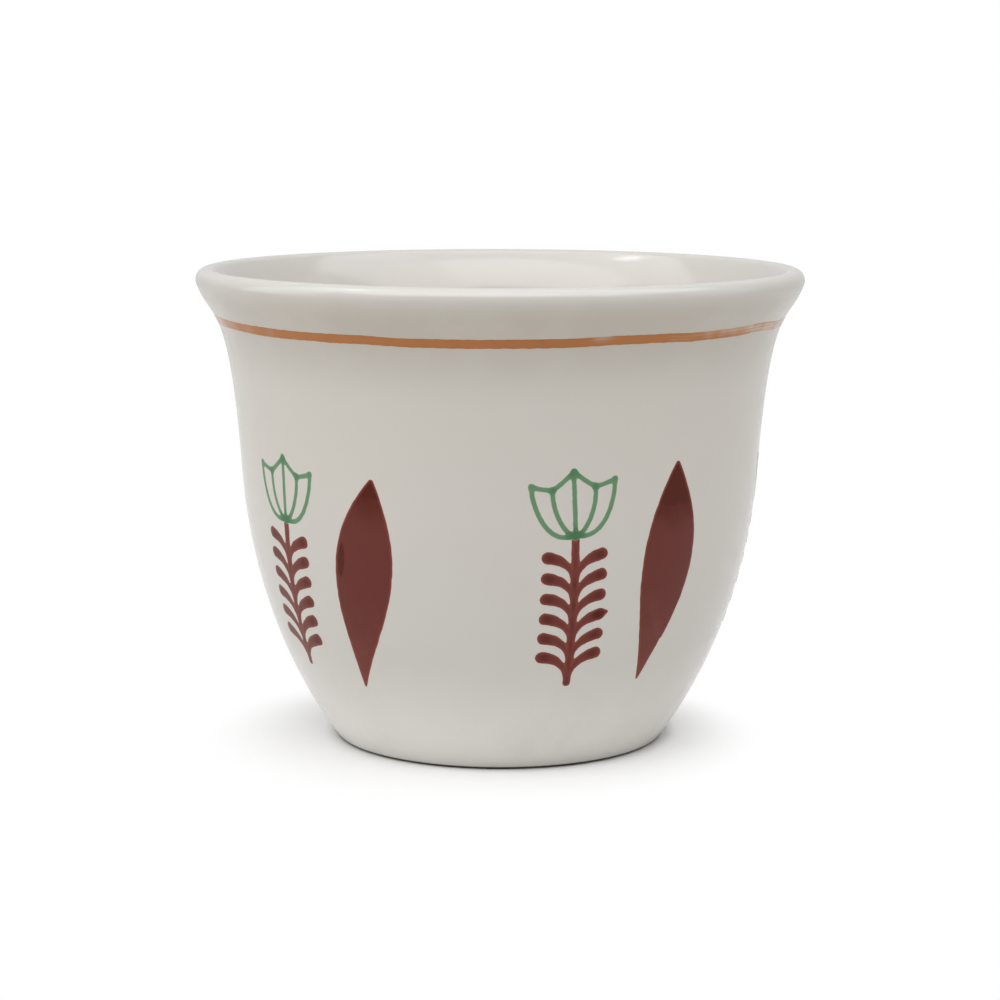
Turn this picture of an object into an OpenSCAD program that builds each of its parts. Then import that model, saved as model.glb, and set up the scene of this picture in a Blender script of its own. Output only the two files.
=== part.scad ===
// Arabic coffee cup: a small glazed cup without a handle, with a flared, rolled lip.
// A fired clay body carries a glaze skin, an orange line under the lip and five
// repeats of a painted tulip on a leafy sprig beside a plain lancet leaf.
// The cup stands on z = 0, its axis is z, and the painted front faces -y.

/* [Overall size] */
// Outside diameter across the rolled lip
rim_diameter = 67.8; // [64:0.2:76]
// Height from the table to the top of the lip
cup_height = 53; // [49:0.5:60]
// Outside diameter at the waist, where the belly turns into the flare
waist_diameter = 58; // [54:0.2:62]
// Height of the waist above the table
waist_height = 30.4; // [27:0.2:34]
// Outside diameter at the foot edge
foot_diameter = 37; // [32:0.5:42]

/* [Outside curve] */
// Outward lean of the wall where it leaves the foot
foot_lean = 37; // [28:1:42]
// Outward lean of the wall at the waist
waist_lean = 3.8; // [1:0.2:6]
// Outward lean of the flare where it meets the rolled lip
lip_lean = 20.5; // [14:0.5:28]
// How far the foot's direction is held up the belly
foot_hold_share = 0.275; // [0.2:0.005:0.4]
// How far the waist's direction is held down the belly
belly_hold_share = 0.42; // [0.3:0.01:0.5]
// How far the waist's direction is held up the flare
flare_hold_share = 0.87; // [0.6:0.01:0.9]
// How far the lip's direction is held down the flare
lip_hold_share = 0.26; // [0.15:0.01:0.35]

/* [Wall and inside] */
// Diameter of the rolled bead that rounds the lip
lip_thickness = 2; // [1.6:0.1:2.6]
// Wall thickness at the waist
wall_thickness = 3; // [2.2:0.1:4]
// Height of the inside floor above the table
floor_height = 5; // [4.4:0.1:7]
// Lean of the inside face where it leaves the rolled lip
mouth_lean = 40; // [30:1:46]

/* [Foot] */
// Width of the foot ring, from the foot edge to the recess
foot_ring_width = 2.6; // [2:0.1:4]
// Depth of the recess inside the foot ring
recess_depth = 1.4; // [1.2:0.1:2]
// Radius of the corner round the recess
recess_fillet = 0.8; // [0.4:0.1:1]
// Height of the bare clay between the table and the glaze edge
bare_height = 0.15; // [0.1:0.05:0.5]
// Width of the bevel on both edges of the standing ring
foot_bevel = 0.2; // [0.1:0.05:0.5]

/* [Glaze and paint] */
// Thickness of the glaze skin
glaze_thickness = 0.25; // [0.15:0.05:0.4]
// Thickness of the fired paint on the glaze
paint_thickness = 0.08; // [0.05:0.01:0.2]

/* [Orange line] */
// Distance from the top of the lip down to the middle of the line
line_drop = 5.7; // [5:0.1:8]
// Width of the line
line_width = 0.9; // [0.5:0.1:2]

/* [Painted repeats] */
// Number of repeats round the cup
repeat_count = 5; // [4:1:6]
// Turn of the first tulip from the front of the cup
first_turn = 15.9; // [0:0.1:72]
// Turn from each tulip to the leaf on its right
leaf_turn = 22.5; // [20:0.5:28]
// Distance from the waist down to the joint between tulip and sprig
joint_drop = 3.5; // [1.5:0.1:5]

/* [Tulip] */
// Width across the tulip's two outer tips
tulip_width = 9; // [7:0.1:11]
// Height from the joint to the tulip's middle tip
tulip_height = 7; // [6:0.1:8.5]
// Width of the tulip's painted line
tulip_line = 0.52; // [0.3:0.02:0.7]

/* [Sprig] */
// Length of the stem below the joint
stem_length = 16.6; // [16:0.2:18]
// Width of the stem
stem_width = 0.95; // [0.5:0.05:1.2]
// Number of pairs of leaflets on the stem
leaflet_pairs = 6; // [3:1:6]
// Step from one pair of leaflets to the next
leaflet_step = 2.3; // [2:0.05:2.4]
// Distance from the joint down to the root of the first pair
leaflet_drop = 5; // [4.6:0.1:5.2]
// Reach of a leaflet to each side of the stem
leaflet_reach = 3.6; // [2.8:0.1:4]
// Rise of a leaflet from its root to the middle of its round end
leaflet_rise = 3.3; // [2.8:0.05:3.5]
// Width of a leaflet's round end
leaflet_width = 1.3; // [0.8:0.05:1.4]

/* [Leaf] */
// Length of the leaf from tip to tip
leaf_length = 24.2; // [18:0.2:25]
// Width of the leaf where it is widest
leaf_width = 6.8; // [4:0.1:9]
// Distance from the waist down to the middle of the leaf
leaf_drop = 8.4; // [6.5:0.1:10]

/* [Hidden] */
$fn = 96;

// Steps along each stretch of the section and of a brush stroke
belly_steps = 12;
flare_steps = 12;
bead_steps = 4;
mouth_steps = 8;
bowl_steps = 12;
fillet_steps = 4;
stroke_steps = 7;
cap_steps = 4;
leaf_steps = 16;

// Hand-painted drift of each repeat from its even place, in degrees
repeat_drifts = [0, 1, 1.5, 1, 3.5];
// Drift of each leaf from its place beside the tulip, in degrees
leaf_drifts = [1, 0, 0.5, -0.5, -0.7];
// Lean of each leaf, with its top to the right, in degrees
leaf_leans = [1.8, 6, 4, 7, 10.4];
// Rise of each leaf from its even height, as a share of its length
leaf_rise_shares = [0.01, -0.01, 0.02, 0, -0.044];
// Sideways sweep of each leaf's lower tip, as a share of its length
leaf_sweep_shares = [0.012, 0.01, 0.02, 0, 0.005];
// Sideways bow of each leaf's middle, as a share of its length
leaf_bow_shares = [0.014, 0, -0.01, 0.01, 0];
// Fullness of each leaf's lower half
leaf_fullness_shares = [0.8, 0.78, 0.75, 0.82, 0.72];
// Sideways sweep of each stem's lower end, as a share of its length
stem_sweep_shares = [0.014, 0.02, -0.02, 0.03, 0.002];
// Lean of each sprig, with its lower end to the right, in degrees
sprig_leans = [2.2, -1.5, 3, -3, -7.1];
// Droop of each sprig's left and right leaflets, as a share of their rise
droop_shares = [[0.05, 0.04], [0.02, 0.08], [0.06, 0.02], [0.04, 0], [0.06, -0.06]];
// Tilt of each tulip, in degrees
tulip_tilts = [3.5, 2, 0, -3, -2.3];

// Tips of the tulip, across its half width and up its height
side_tip_share = [1, 0.83];
valley_share = [0.51, 0.75];
middle_tip_share = [0, 1];
// Bends and ends of its petal lines, drawn down from a tip or valley to the joint
outer_petal_shares = [[1, 0.58], [0.76, -0.06], [0.05, 0.03]];
inner_petal_shares = [[0.56, 0.45], [0.24, 0.04], [0.03, 0.05]];
petal_top_bend_share = 0.015;
// Bends of a leaflet from its root, across its reach and up its rise
leaflet_bend_shares = [[0.1, 0.7], [0.52, 0.87]];
leaflet_root_share = 0.35;
stem_end_share = 0.9;
// Bends of the leaf's edge, down its length from the top, and their fullness in all
leaf_bend_shares = [0.39, 0.65];
leaf_full_share = 2.6;
// Bends of the inside curves
mouth_hold_share = 0.2;
inside_hold_share = 0.5;
bowl_drop_share = 0.7;
bowl_floor_share = 0.74;

rim_radius = rim_diameter / 2;
waist_radius = waist_diameter / 2;
foot_radius = foot_diameter / 2;
lip_radius = lip_thickness / 2;
recess_radius = foot_radius - foot_ring_width;
line_height = cup_height - line_drop;
joint_height = waist_height - joint_drop;
leaf_height = waist_height - leaf_drop;
flare_rise = cup_height - waist_height;
cavity_depth = waist_height - floor_height;
lip_centre = [rim_radius - lip_radius, cup_height - lip_radius];
foot_edge = [foot_radius, bare_height];
waist_edge = [waist_radius, waist_height];
inner_waist = [waist_radius - wall_thickness, waist_height];

names = [for (motif = ["tulip_", "sprig_", "leaf_"]) for (i = [1:repeat_count]) str(motif, i)];

// Direction of a wall that leans outward by the given angle, pointing up
function heading(lean) = [sin(lean), cos(lean)];

// The side of a path that lies to the right of its direction
function right_of(direction) = [direction.y, -direction.x] / norm(direction);

function reversed(list) = [for (i = [len(list) - 1:-1:0]) list[i]];

function bezier_point(c, t) =
    c[0] * pow(1 - t, 3) + c[1] * 3 * t * pow(1 - t, 2) + c[2] * 3 * t * t * (1 - t) + c[3] * pow(t, 3);

function bezier_slope(c, t) =
    (c[1] - c[0]) * pow(1 - t, 2) + (c[2] - c[1]) * 2 * t * (1 - t) + (c[3] - c[2]) * t * t;

// Points beside a curve at a distance, from its given first step to its last
function beside_curve(c, steps, first, distance) =
    [for (i = [first:steps])
        bezier_point(c, i / steps) + distance * right_of(bezier_slope(c, i / steps))];

// The outside: a belly from the foot edge to the waist, then the flare up to the lip
belly_curve = [
    foot_edge,
    foot_edge + foot_hold_share * waist_height * heading(foot_lean),
    waist_edge - belly_hold_share * waist_height * heading(waist_lean),
    waist_edge];
flare_top = lip_centre + lip_radius * right_of(heading(lip_lean));
flare_curve = [
    waist_edge,
    waist_edge + flare_hold_share * flare_rise * heading(waist_lean),
    flare_top - lip_hold_share * flare_rise * heading(lip_lean),
    flare_top];

// The inside: the mouth down from the lip to the waist, then the bowl to the axis
mouth_top = lip_centre + lip_radius * right_of(-heading(mouth_lean));
mouth_curve = [
    mouth_top,
    mouth_top - mouth_hold_share * flare_rise * heading(mouth_lean),
    inner_waist + inside_hold_share * flare_rise * heading(waist_lean),
    inner_waist];
bowl_curve = [
    inner_waist,
    inner_waist - bowl_drop_share * cavity_depth * heading(waist_lean),
    [bowl_floor_share * inner_waist.x, floor_height],
    [0, floor_height]];

// Turns in even steps that leave out the first
function turns(from, to) = [for (i = [1:bead_steps]) from + (to - from) * i / bead_steps];

// The bead turns from the flare's lean, past upright and level, to the lean of the mouth
function bead_points(distance) =
    [for (turn = concat(turns(lip_lean, 0), turns(0, -90), turns(-90, mouth_lean - 180)))
        lip_centre + (lip_radius + distance) * right_of(heading(turn))];

function outside_points(distance) =
    concat(beside_curve(belly_curve, belly_steps, 0, distance),
           beside_curve(flare_curve, flare_steps, 1, distance));

// How far out from the axis the painted wall reaches
painted_radius = max([for (point = outside_points(paint_thickness)) point.x]);

function inside_points(distance) =
    concat(beside_curve(mouth_curve, mouth_steps, 1, distance),
           beside_curve(bowl_curve, bowl_steps, 1, distance));

// The whole glazed face at a distance, from the foot edge to the middle of the floor
function face_points(distance) =
    concat(outside_points(distance), bead_points(distance), inside_points(distance));

// The recess under the foot at a depth behind its face, from the axis outward
function recess_points(depth) =
    concat([[0, recess_depth + depth]],
           [for (i = [0:fillet_steps])
               let (turn = 90 * (1 - i / fillet_steps))
               [recess_radius - recess_fillet, recess_depth - recess_fillet]
               + (recess_fillet + depth) * [cos(turn), sin(turn)]],
           [[recess_radius + depth, bare_height]]);

// The fired clay: wall, floor and the bare standing ring of the foot
module cup_body() {
    standing_ring = [
        [recess_radius + glaze_thickness + foot_bevel, 0],
        [face_points(-glaze_thickness)[0].x - foot_bevel, 0]];
    color("linen")
        rotate_extrude()
            polygon(concat(recess_points(glaze_thickness), standing_ring, face_points(-glaze_thickness)));
}

// The glaze over the outside, the lip and the inside, in one skin
module glaze_coat() {
    color("whitesmoke")
        rotate_extrude()
            polygon(concat(face_points(0), reversed(face_points(-glaze_thickness))));
}

// The glaze in the recess, cut off from the rest by the wiped foot ring
module foot_glaze() {
    color("whitesmoke")
        rotate_extrude()
            polygon(concat(recess_points(0), reversed(recess_points(glaze_thickness))));
}

// A ring of fired paint on the glaze between two heights
module paint_ring(bottom, top) {
    rotate_extrude()
        intersection() {
            polygon(concat(outside_points(paint_thickness), reversed(outside_points(0))));
            translate([0, bottom])
                square([painted_radius, top - bottom]);
        }
}

// The orange line under the lip
module rim_line() {
    color("peru")
        paint_ring(line_height - line_width / 2, line_height + line_width / 2);
}

// Paint cut to a flat outline that is laid on the wall at a turn and a height, where
// the outline reaches no further than the given distances above and below that height
module painted(turn, height, above, below) {
    intersection() {
        paint_ring(height - below, height + above);
        rotate([0, 0, turn])
            translate([0, 0, height])
                rotate([90, 0, 0])
                    linear_extrude(height = painted_radius)
                        children();
    }
}

// Widths along a stroke that swells from one end to the other
function swell(from_width, to_width, share) =
    from_width + (to_width - from_width) * share * share * (3 - 2 * share);

// A half circle round the end of a stroke, on the side that it points to
function cap_points(centre, direction, width) =
    [for (i = [1:cap_steps - 1])
        let (turn = 180 * i / cap_steps)
        centre + width / 2 * (cos(turn) * right_of(direction) + sin(turn) * direction / norm(direction))];

function stroke_side(c, from_width, to_width, side) =
    [for (i = [0:stroke_steps])
        let (share = i / stroke_steps)
        bezier_point(c, share)
        + side * swell(from_width, to_width, share) / 2 * right_of(bezier_slope(c, share))];

// A brush stroke along a curve, with a round end at both ends
module brush_stroke(c, from_width, to_width) {
    start_cap = cap_points(c[0], c[0] - c[1], from_width);
    end_cap = cap_points(c[3], c[3] - c[2], to_width);
    polygon(concat(
        stroke_side(c, from_width, to_width, 1),
        end_cap,
        reversed(stroke_side(c, from_width, to_width, -1)),
        start_cap));
}

// A place on the tulip, from shares of its half width and its height
function on_tulip(share, side) =
    [side * share.x * tulip_width / 2, share.y * tulip_height];

// A curve from a start and three shares that follow it
function petal_curve(start_share, shares, side) =
    concat([on_tulip(start_share, side)], [for (share = shares) on_tulip(share, side)]);

// The upper edge of a petal, from one tip to another with a slight sag
function petal_top_curve(from_share, to_share, side) =
    let (start = on_tulip(from_share, side),
         end = on_tulip(to_share, side),
         sag = [0, -petal_top_bend_share * tulip_height])
    [start, (2 * start + end) / 3 + sag, (start + 2 * end) / 3 + sag, end];

function tulip_curves(side) = [
    petal_curve(side_tip_share, outer_petal_shares, side),
    petal_curve(valley_share, inner_petal_shares, side),
    petal_top_curve(side_tip_share, valley_share, side),
    petal_top_curve(valley_share, middle_tip_share, side)];

middle_line = [for (i = [0:3]) on_tulip([0, 1 - i / 3], 1)];

// The tulip's outline: two outer petals, two inner ones and the middle line
module tulip_outline() {
    for (c = concat(tulip_curves(-1), tulip_curves(1), [middle_line]))
        brush_stroke(c, tulip_line, tulip_line);
}

// The stem's curve from the joint down, swept aside at its lower end
function stem_curve(sweep) = [
    [0, -tulip_line / 2],
    [0, -stem_length / 3],
    [-sweep / 4, -stem_length * 2 / 3],
    [-sweep, -stem_length + stem_width * stem_end_share / 2]];

// The stem's place at a distance below the joint, no lower than its end
function stem_place(sweep, drop) =
    bezier_point(stem_curve(sweep), min(drop / stem_length, 1));

// A leaflet's curve from its root on the stem to the middle of its round end
function leaflet_curve(root, side, droop) =
    let (reach = leaflet_reach - leaflet_width / 2)
    concat([root],
           [for (share = leaflet_bend_shares)
               root + [side * share.x * reach, share.y * leaflet_rise]],
           [root + [side * reach, (1 - droop) * leaflet_rise]]);

// The leafy sprig's outline: a bent stem with pairs of round-ended leaflets
module sprig_outline(sweep, droops) {
    brush_stroke(stem_curve(sweep), stem_width, stem_width * stem_end_share);
    for (pair = [0:leaflet_pairs - 1]) {
        root = stem_place(sweep, leaflet_drop + pair * leaflet_step);
        for (side = [-1, 1])
            brush_stroke(
                leaflet_curve(root, side, side < 0 ? droops[0] : droops[1]),
                leaflet_width * leaflet_root_share,
                leaflet_width);
    }
}

// One edge of the leaf, from its top: what the lower half gains, the upper half gives
function leaf_edge(sweep, bow, fullness, side) =
    let (upper = side * (leaf_full_share - fullness) * leaf_width / 2,
         lower = side * fullness * leaf_width / 2)
    [[0, leaf_length / 2],
     [upper + bow, leaf_length * (1 / 2 - leaf_bend_shares[0])],
     [lower + bow - sweep / 3, leaf_length * (1 / 2 - leaf_bend_shares[1])],
     [-sweep, -leaf_length / 2]];

function edge_points(c, first, last) = [for (i = [first:last]) bezier_point(c, i / leaf_steps)];

// The leaf's outline: two long curves that meet in a point at both ends
module leaf_outline(sweep, bow, fullness) {
    left_edge = edge_points(leaf_edge(sweep, bow, fullness, -1), 0, leaf_steps);
    right_edge = edge_points(leaf_edge(sweep, bow, fullness, 1), 1, leaf_steps - 1);
    polygon(concat(left_edge, reversed(right_edge)));
}

// An item for a repeat from a list that may be shorter than the count
function for_repeat(list, i) = list[i % len(list)];

function repeat_turn(i) = first_turn + 360 * i / repeat_count + for_repeat(repeat_drifts, i);

module tilted_tulip(i) {
    rotate(for_repeat(tulip_tilts, i))
        tulip_outline();
}

module tulip(i) {
    color("seagreen")
        painted(repeat_turn(i), joint_height, tulip_height + tulip_width / 2, tulip_width)
            tilted_tulip(i);
}

// The stem ends against the tulip's line, so the two colours lie edge to edge
module sprig(i) {
    sweep = stem_length * for_repeat(stem_sweep_shares, i);
    color("maroon")
        painted(repeat_turn(i), joint_height, stem_width, stem_length + stem_width)
            difference() {
                rotate(for_repeat(sprig_leans, i))
                    sprig_outline(sweep, for_repeat(droop_shares, i));
                tilted_tulip(i);
            }
}

module leaf(i) {
    turn = repeat_turn(i) + leaf_turn + for_repeat(leaf_drifts, i);
    height = leaf_height + leaf_length * for_repeat(leaf_rise_shares, i);
    sweep = leaf_length * for_repeat(leaf_sweep_shares, i);
    bow = leaf_length * for_repeat(leaf_bow_shares, i);
    color("maroon")
        painted(turn, height, leaf_length, leaf_length)
            rotate(-for_repeat(leaf_leans, i))
                leaf_outline(sweep, bow, for_repeat(leaf_fullness_shares, i));
}

cup_body();
glaze_coat();
foot_glaze();
rim_line();
for (i = [0:repeat_count - 1]) {
    tulip(i);
    sprig(i);
    leaf(i);
}
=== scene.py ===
"""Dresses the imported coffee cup: smooth glaze, bare clay, a brushed line and painted repeats."""

import enum
import logging
import math
from dataclasses import dataclass

import bmesh
import bpy
import numpy as np
from mathutils import Matrix, Vector


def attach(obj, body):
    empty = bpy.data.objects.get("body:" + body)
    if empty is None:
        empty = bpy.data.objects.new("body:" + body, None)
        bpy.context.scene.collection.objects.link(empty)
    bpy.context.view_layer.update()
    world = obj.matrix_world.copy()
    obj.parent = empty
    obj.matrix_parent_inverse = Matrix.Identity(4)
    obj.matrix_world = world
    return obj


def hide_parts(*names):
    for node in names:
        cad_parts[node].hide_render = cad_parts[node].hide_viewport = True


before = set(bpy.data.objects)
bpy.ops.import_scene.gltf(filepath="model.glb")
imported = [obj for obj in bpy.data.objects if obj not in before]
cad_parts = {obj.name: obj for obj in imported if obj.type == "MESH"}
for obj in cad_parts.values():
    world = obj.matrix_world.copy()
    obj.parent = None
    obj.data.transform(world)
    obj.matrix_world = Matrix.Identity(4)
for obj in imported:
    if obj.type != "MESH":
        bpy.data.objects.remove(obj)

Array = np.ndarray
Mesh = bmesh.types.BMesh
Node = bpy.types.Node
Socket = bpy.types.NodeSocket
Material = bpy.types.Material
Piece = bpy.types.Object
Colour = tuple[float, float, float]
Marks = tuple[tuple[float, float, float], ...]

MM = 0.001  # metres in a millimetre
BODY = "root"  # the one body, on which every piece rides
WEDGES = 24  # equal wedges that make up a turned piece
DOUBLE = 1e-4  # millimetres within which a turned piece's points are one
FAR = 2.0  # millimetres past which the distance from a stroke isn't worked out
NUDGE = 0.01  # millimetres over which a figure's slope is measured
PAINT_EDGE = 0.005  # millimetres by which paint stands off the glaze at its very edge
MIX_INPUTS = (0, 6, 7)  # factor and both colours of a Mix node
MIX_OUTPUT = 2  # the colour that it gives
GLASS_IOR = 1.5  # of glaze and of fired paint
log = logging.getLogger("cup")


def heading(lean: float | Array) -> Array:
    """Direction (out, up) of a wall that leans outward by some degrees, a row for each lean."""
    turn = np.radians(lean)
    return np.stack([np.sin(turn), np.cos(turn)], axis=-1)


def right_of(directions: Array) -> Array:
    """Unit directions to the right of the given ones, row by row."""
    turned = np.stack([directions[..., 1], -directions[..., 0]], axis=-1)
    return turned / np.linalg.norm(turned, axis=-1, keepdims=True)


def smooth_step(values: Array) -> Array:
    """Values clipped to 0 and 1 and eased at both ends."""
    held = np.clip(values, 0.0, 1.0)
    return held * held * (3.0 - 2.0 * held)


def hand_wobble(places: Array, pitch: float, seed: float) -> Array:
    """Soft unevenness as a hand leaves it, the same on each run.

    Args:
        places: Flat places in millimetres, one row each.
        pitch: Rough distance from one swell to the next, in millimetres.
        seed: Number that sets one hand's mark apart from another's.

    Returns:
        One value for each place, mostly between -1 and 1.
    """
    x, y = places[:, 0] * 2 * math.pi / pitch, places[:, 1] * 2 * math.pi / pitch
    waves = np.sin(x + 0.6 * y + seed) + 0.7 * np.sin(1.7 * y - 0.8 * x + 2.1 * seed)
    return (waves + 0.5 * np.sin(2.3 * x + 1.1 * y + 3.7 * seed)) / 2.2


def unevenness(places: Array, marks: Marks, hand: float = 1.0, start: float = 0.0) -> Array:
    """Several kinds of a hand's unevenness added up.

    Args:
        places: Flat places in millimetres, one row each.
        marks: Size, pitch and seed of each kind.
        hand: Number that multiplies the seeds, such as a repeat's own.
        start: Value that they are added to.

    Returns:
        One value for each place.
    """
    kinds = (size * hand_wobble(places, pitch, seed * hand) for size, pitch, seed in marks)
    return sum(kinds, start)


def paint_lift(depth: Array, outer: Array, lift: float, under: float, shoulder: float) -> Array:
    """How far points of a painted piece stand off the glaze.

    Args:
        depth: Distance in from the painted edge, in millimetres.
        outer: Whether each point is on the face that shows.
        lift: Height of the paint's middle over its edge, in millimetres.
        under: How far its hidden face lies in the glaze, in millimetres.
        shoulder: Width over which its edge rises, in millimetres.

    Returns:
        The distance off the glaze in millimetres, one for each point.
    """
    return np.where(outer, PAINT_EDGE + lift * smooth_step(depth / shoulder), -under)


@dataclass(frozen=True)
class Curve:
    """A cubic curve in millimetres, set by four control points."""

    controls: tuple

    @classmethod
    def between(cls, start: Array, leave: Array, reach: Array, end: Array) -> "Curve":
        """A curve that leaves its start along one direction and reaches its end along another."""
        return cls((start, start + leave, end - reach, end))

    def at(self, shares: Array) -> Array:
        """Points on the curve.

        Args:
            shares: Shares of its run, from 0 to 1.

        Returns:
            The points, one row each.
        """
        a, b, c, d = (np.asarray(point, float) for point in self.controls)
        t = np.asarray(shares, float)[:, None]
        return a * (1 - t) ** 3 + 3 * b * t * (1 - t) ** 2 + 3 * c * t * t * (1 - t) + d * t ** 3

    def slope(self, shares: Array) -> Array:
        """Directions of the curve.

        Args:
            shares: Shares of its run, from 0 to 1.

        Returns:
            The directions, one row each, of any length.
        """
        a, b, c, d = (np.asarray(point, float) for point in self.controls)
        t = np.asarray(shares, float)[:, None]
        return (b - a) * (1 - t) ** 2 + 2 * (c - b) * t * (1 - t) + (d - c) * t * t

    def beside(self, steps: int, distance: float, skip_first: bool = True) -> Array:
        """Points to the right of the curve, in even steps.

        Args:
            steps: Number of steps along the curve.
            distance: How far to the right of the curve, in millimetres.
            skip_first: Whether the curve's first point is left to its neighbour.

        Returns:
            The points, one row each.
        """
        shares = np.linspace(0.0, 1.0, steps + 1)[1 if skip_first else 0:]
        return self.at(shares) + distance * right_of(self.slope(shares))


@dataclass(frozen=True)
class Section:
    """The cup's section: radius and height of its faces.

    Sizes are in millimetres and leans in degrees outward. A hold is how long a curve keeps the
    direction of one of its ends, as a share of the height that it spans. The finest steps are
    those of the belly, flare, bead, mouth and bowl, in that order.
    """

    rim_diameter: float = 67.8
    cup_height: float = 53.0
    waist_diameter: float = 58.0
    waist_height: float = 30.4
    foot_diameter: float = 37.0
    foot_lean: float = 37.0
    waist_lean: float = 3.8
    lip_lean: float = 21.1
    mouth_lean: float = 40.0
    foot_hold: float = 0.275
    belly_hold: float = 0.42
    flare_hold: float = 0.866
    lip_hold: float = 0.206
    mouth_hold: float = 0.2
    inside_hold: float = 0.5
    bowl_drop: float = 0.7
    bowl_floor: float = 0.74
    lip_thickness: float = 2.5
    wall_thickness: float = 3.0
    floor_height: float = 5.0
    foot_ring_width: float = 2.6
    recess_depth: float = 1.4
    recess_fillet: float = 0.8
    bare_height: float = 0.15
    foot_bevel: float = 0.2
    glaze_thickness: float = 0.25
    finest_steps: tuple = (58, 50, 28, 34, 46)
    least_steps: int = 6
    wall_steps: int = 1200

    @property
    def lip_centre(self) -> Array:
        """Middle of the rolled bead."""
        lip_radius = self.lip_thickness / 2
        return np.array([self.rim_diameter / 2 - lip_radius, self.cup_height - lip_radius])

    @property
    def waist(self) -> Array:
        """The outside at the waist."""
        return np.array([self.waist_diameter / 2, self.waist_height])

    @property
    def inner_waist(self) -> Array:
        """The inside at the waist."""
        return self.waist - np.array([self.wall_thickness, 0.0])

    @property
    def rise(self) -> float:
        """Height from the waist to the top of the lip."""
        return self.cup_height - self.waist_height

    @property
    def recess_radius(self) -> float:
        """Radius of the recess under the foot."""
        return self.foot_diameter / 2 - self.foot_ring_width

    def belly(self) -> Curve:
        """The outside from the foot edge to the waist.

        Returns:
            The curve, upward.
        """
        foot = np.array([self.foot_diameter / 2, self.bare_height])
        return Curve.between(
            foot, self.foot_hold * self.waist_height * heading(self.foot_lean),
            self.belly_hold * self.waist_height * heading(self.waist_lean), self.waist)

    def flare(self) -> Curve:
        """The outside from the waist to the rolled bead.

        Returns:
            The curve, upward.
        """
        top = self.lip_centre + self.lip_thickness / 2 * right_of(heading(self.lip_lean))
        return Curve.between(
            self.waist, self.flare_hold * self.rise * heading(self.waist_lean),
            self.lip_hold * self.rise * heading(self.lip_lean), top)

    def mouth(self) -> Curve:
        """The inside from the rolled bead down to the waist.

        Returns:
            The curve, downward.
        """
        top = self.lip_centre + self.lip_thickness / 2 * right_of(-heading(self.mouth_lean))
        return Curve.between(
            top, -self.mouth_hold * self.rise * heading(self.mouth_lean),
            -self.inside_hold * self.rise * heading(self.waist_lean), self.inner_waist)

    def bowl(self) -> Curve:
        """The inside from the waist to the middle of the floor.

        Returns:
            The curve, downward and inward.
        """
        depth = self.waist_height - self.floor_height
        return Curve((
            self.inner_waist,
            self.inner_waist - self.bowl_drop * depth * heading(self.waist_lean),
            (self.bowl_floor * self.inner_waist[0], self.floor_height),
            (0.0, self.floor_height)))

    def bead(self, steps: int, distance: float) -> Array:
        """Points round the rolled bead, from the flare over the top to the mouth.

        Args:
            steps: Number of steps round the bead.
            distance: How far outside the glazed face, in millimetres.

        Returns:
            The points, one row each, without the flare's own last point.
        """
        leans = np.linspace(self.lip_lean, self.mouth_lean - 180.0, steps + 1)[1:]
        return self.lip_centre + (self.lip_thickness / 2 + distance) * right_of(heading(leans))

    def face(self, distance: float, fineness: float) -> Array:
        """The glazed face from the foot edge to the middle of the floor.

        Args:
            distance: How far outside the glazed face, in millimetres.
            fineness: Share of the finest steps that is used.

        Returns:
            The points, one row each.
        """
        steps = [max(self.least_steps, round(count * fineness)) for count in self.finest_steps]
        return np.concatenate([
            self.belly().beside(steps[0], distance, skip_first=False),
            self.flare().beside(steps[1], distance),
            self.bead(steps[2], distance),
            self.mouth().beside(steps[3], distance),
            self.bowl().beside(steps[4], distance)])

    def recess(self, depth: float) -> Array:
        """The recess under the foot, from the axis outward and down.

        Args:
            depth: How far behind its glazed face, in millimetres.

        Returns:
            The points, one row each.
        """
        centre = np.array([self.recess_radius, self.recess_depth]) - self.recess_fillet
        arc = centre + (self.recess_fillet + depth) * heading(np.linspace(0.0, 90.0, 13))
        flat = np.linspace(0.0, 1.0, 9)[:-1, None] * arc[0]
        flat[:, 1] = self.recess_depth + depth
        return np.concatenate([flat, arc, [[self.recess_radius + depth, self.bare_height]]])

    def wall(self, heights: Array) -> tuple[Array, Array]:
        """Radius of the outside and the way it faces at given heights.

        Args:
            heights: Heights above the table in millimetres.

        Returns:
            The radii in millimetres, and the unit directions (out, up), one row each.
        """
        shares = np.linspace(0.0, 1.0, self.wall_steps)
        places = np.concatenate([self.belly().at(shares), self.flare().at(shares)[1:]])
        slopes = np.concatenate([self.belly().slope(shares), self.flare().slope(shares)[1:]])
        facing = right_of(slopes)
        radii = np.interp(heights, places[:, 1], places[:, 0])
        ways = np.stack([np.interp(heights, places[:, 1], facing[:, k]) for k in (0, 1)], axis=-1)
        return radii, ways / np.linalg.norm(ways, axis=-1, keepdims=True)

    def on_wall(self, across: Array, heights: Array, lift: Array) -> Array:
        """Lays flat places on the front of the wall.

        Args:
            across: Distance to the right of the front, in millimetres.
            heights: Heights above the table in millimetres.
            lift: Distance off the wall in millimetres.

        Returns:
            Points in millimetres, one row each, on the wall that faces -y.
        """
        radii, ways = self.wall(heights)
        turns = np.arcsin(np.clip(across / radii, -1.0, 1.0))
        reach = radii + lift * ways[:, 0]
        return np.stack(
            [reach * np.sin(turns), -reach * np.cos(turns), heights + lift * ways[:, 1]], axis=-1)


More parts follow.
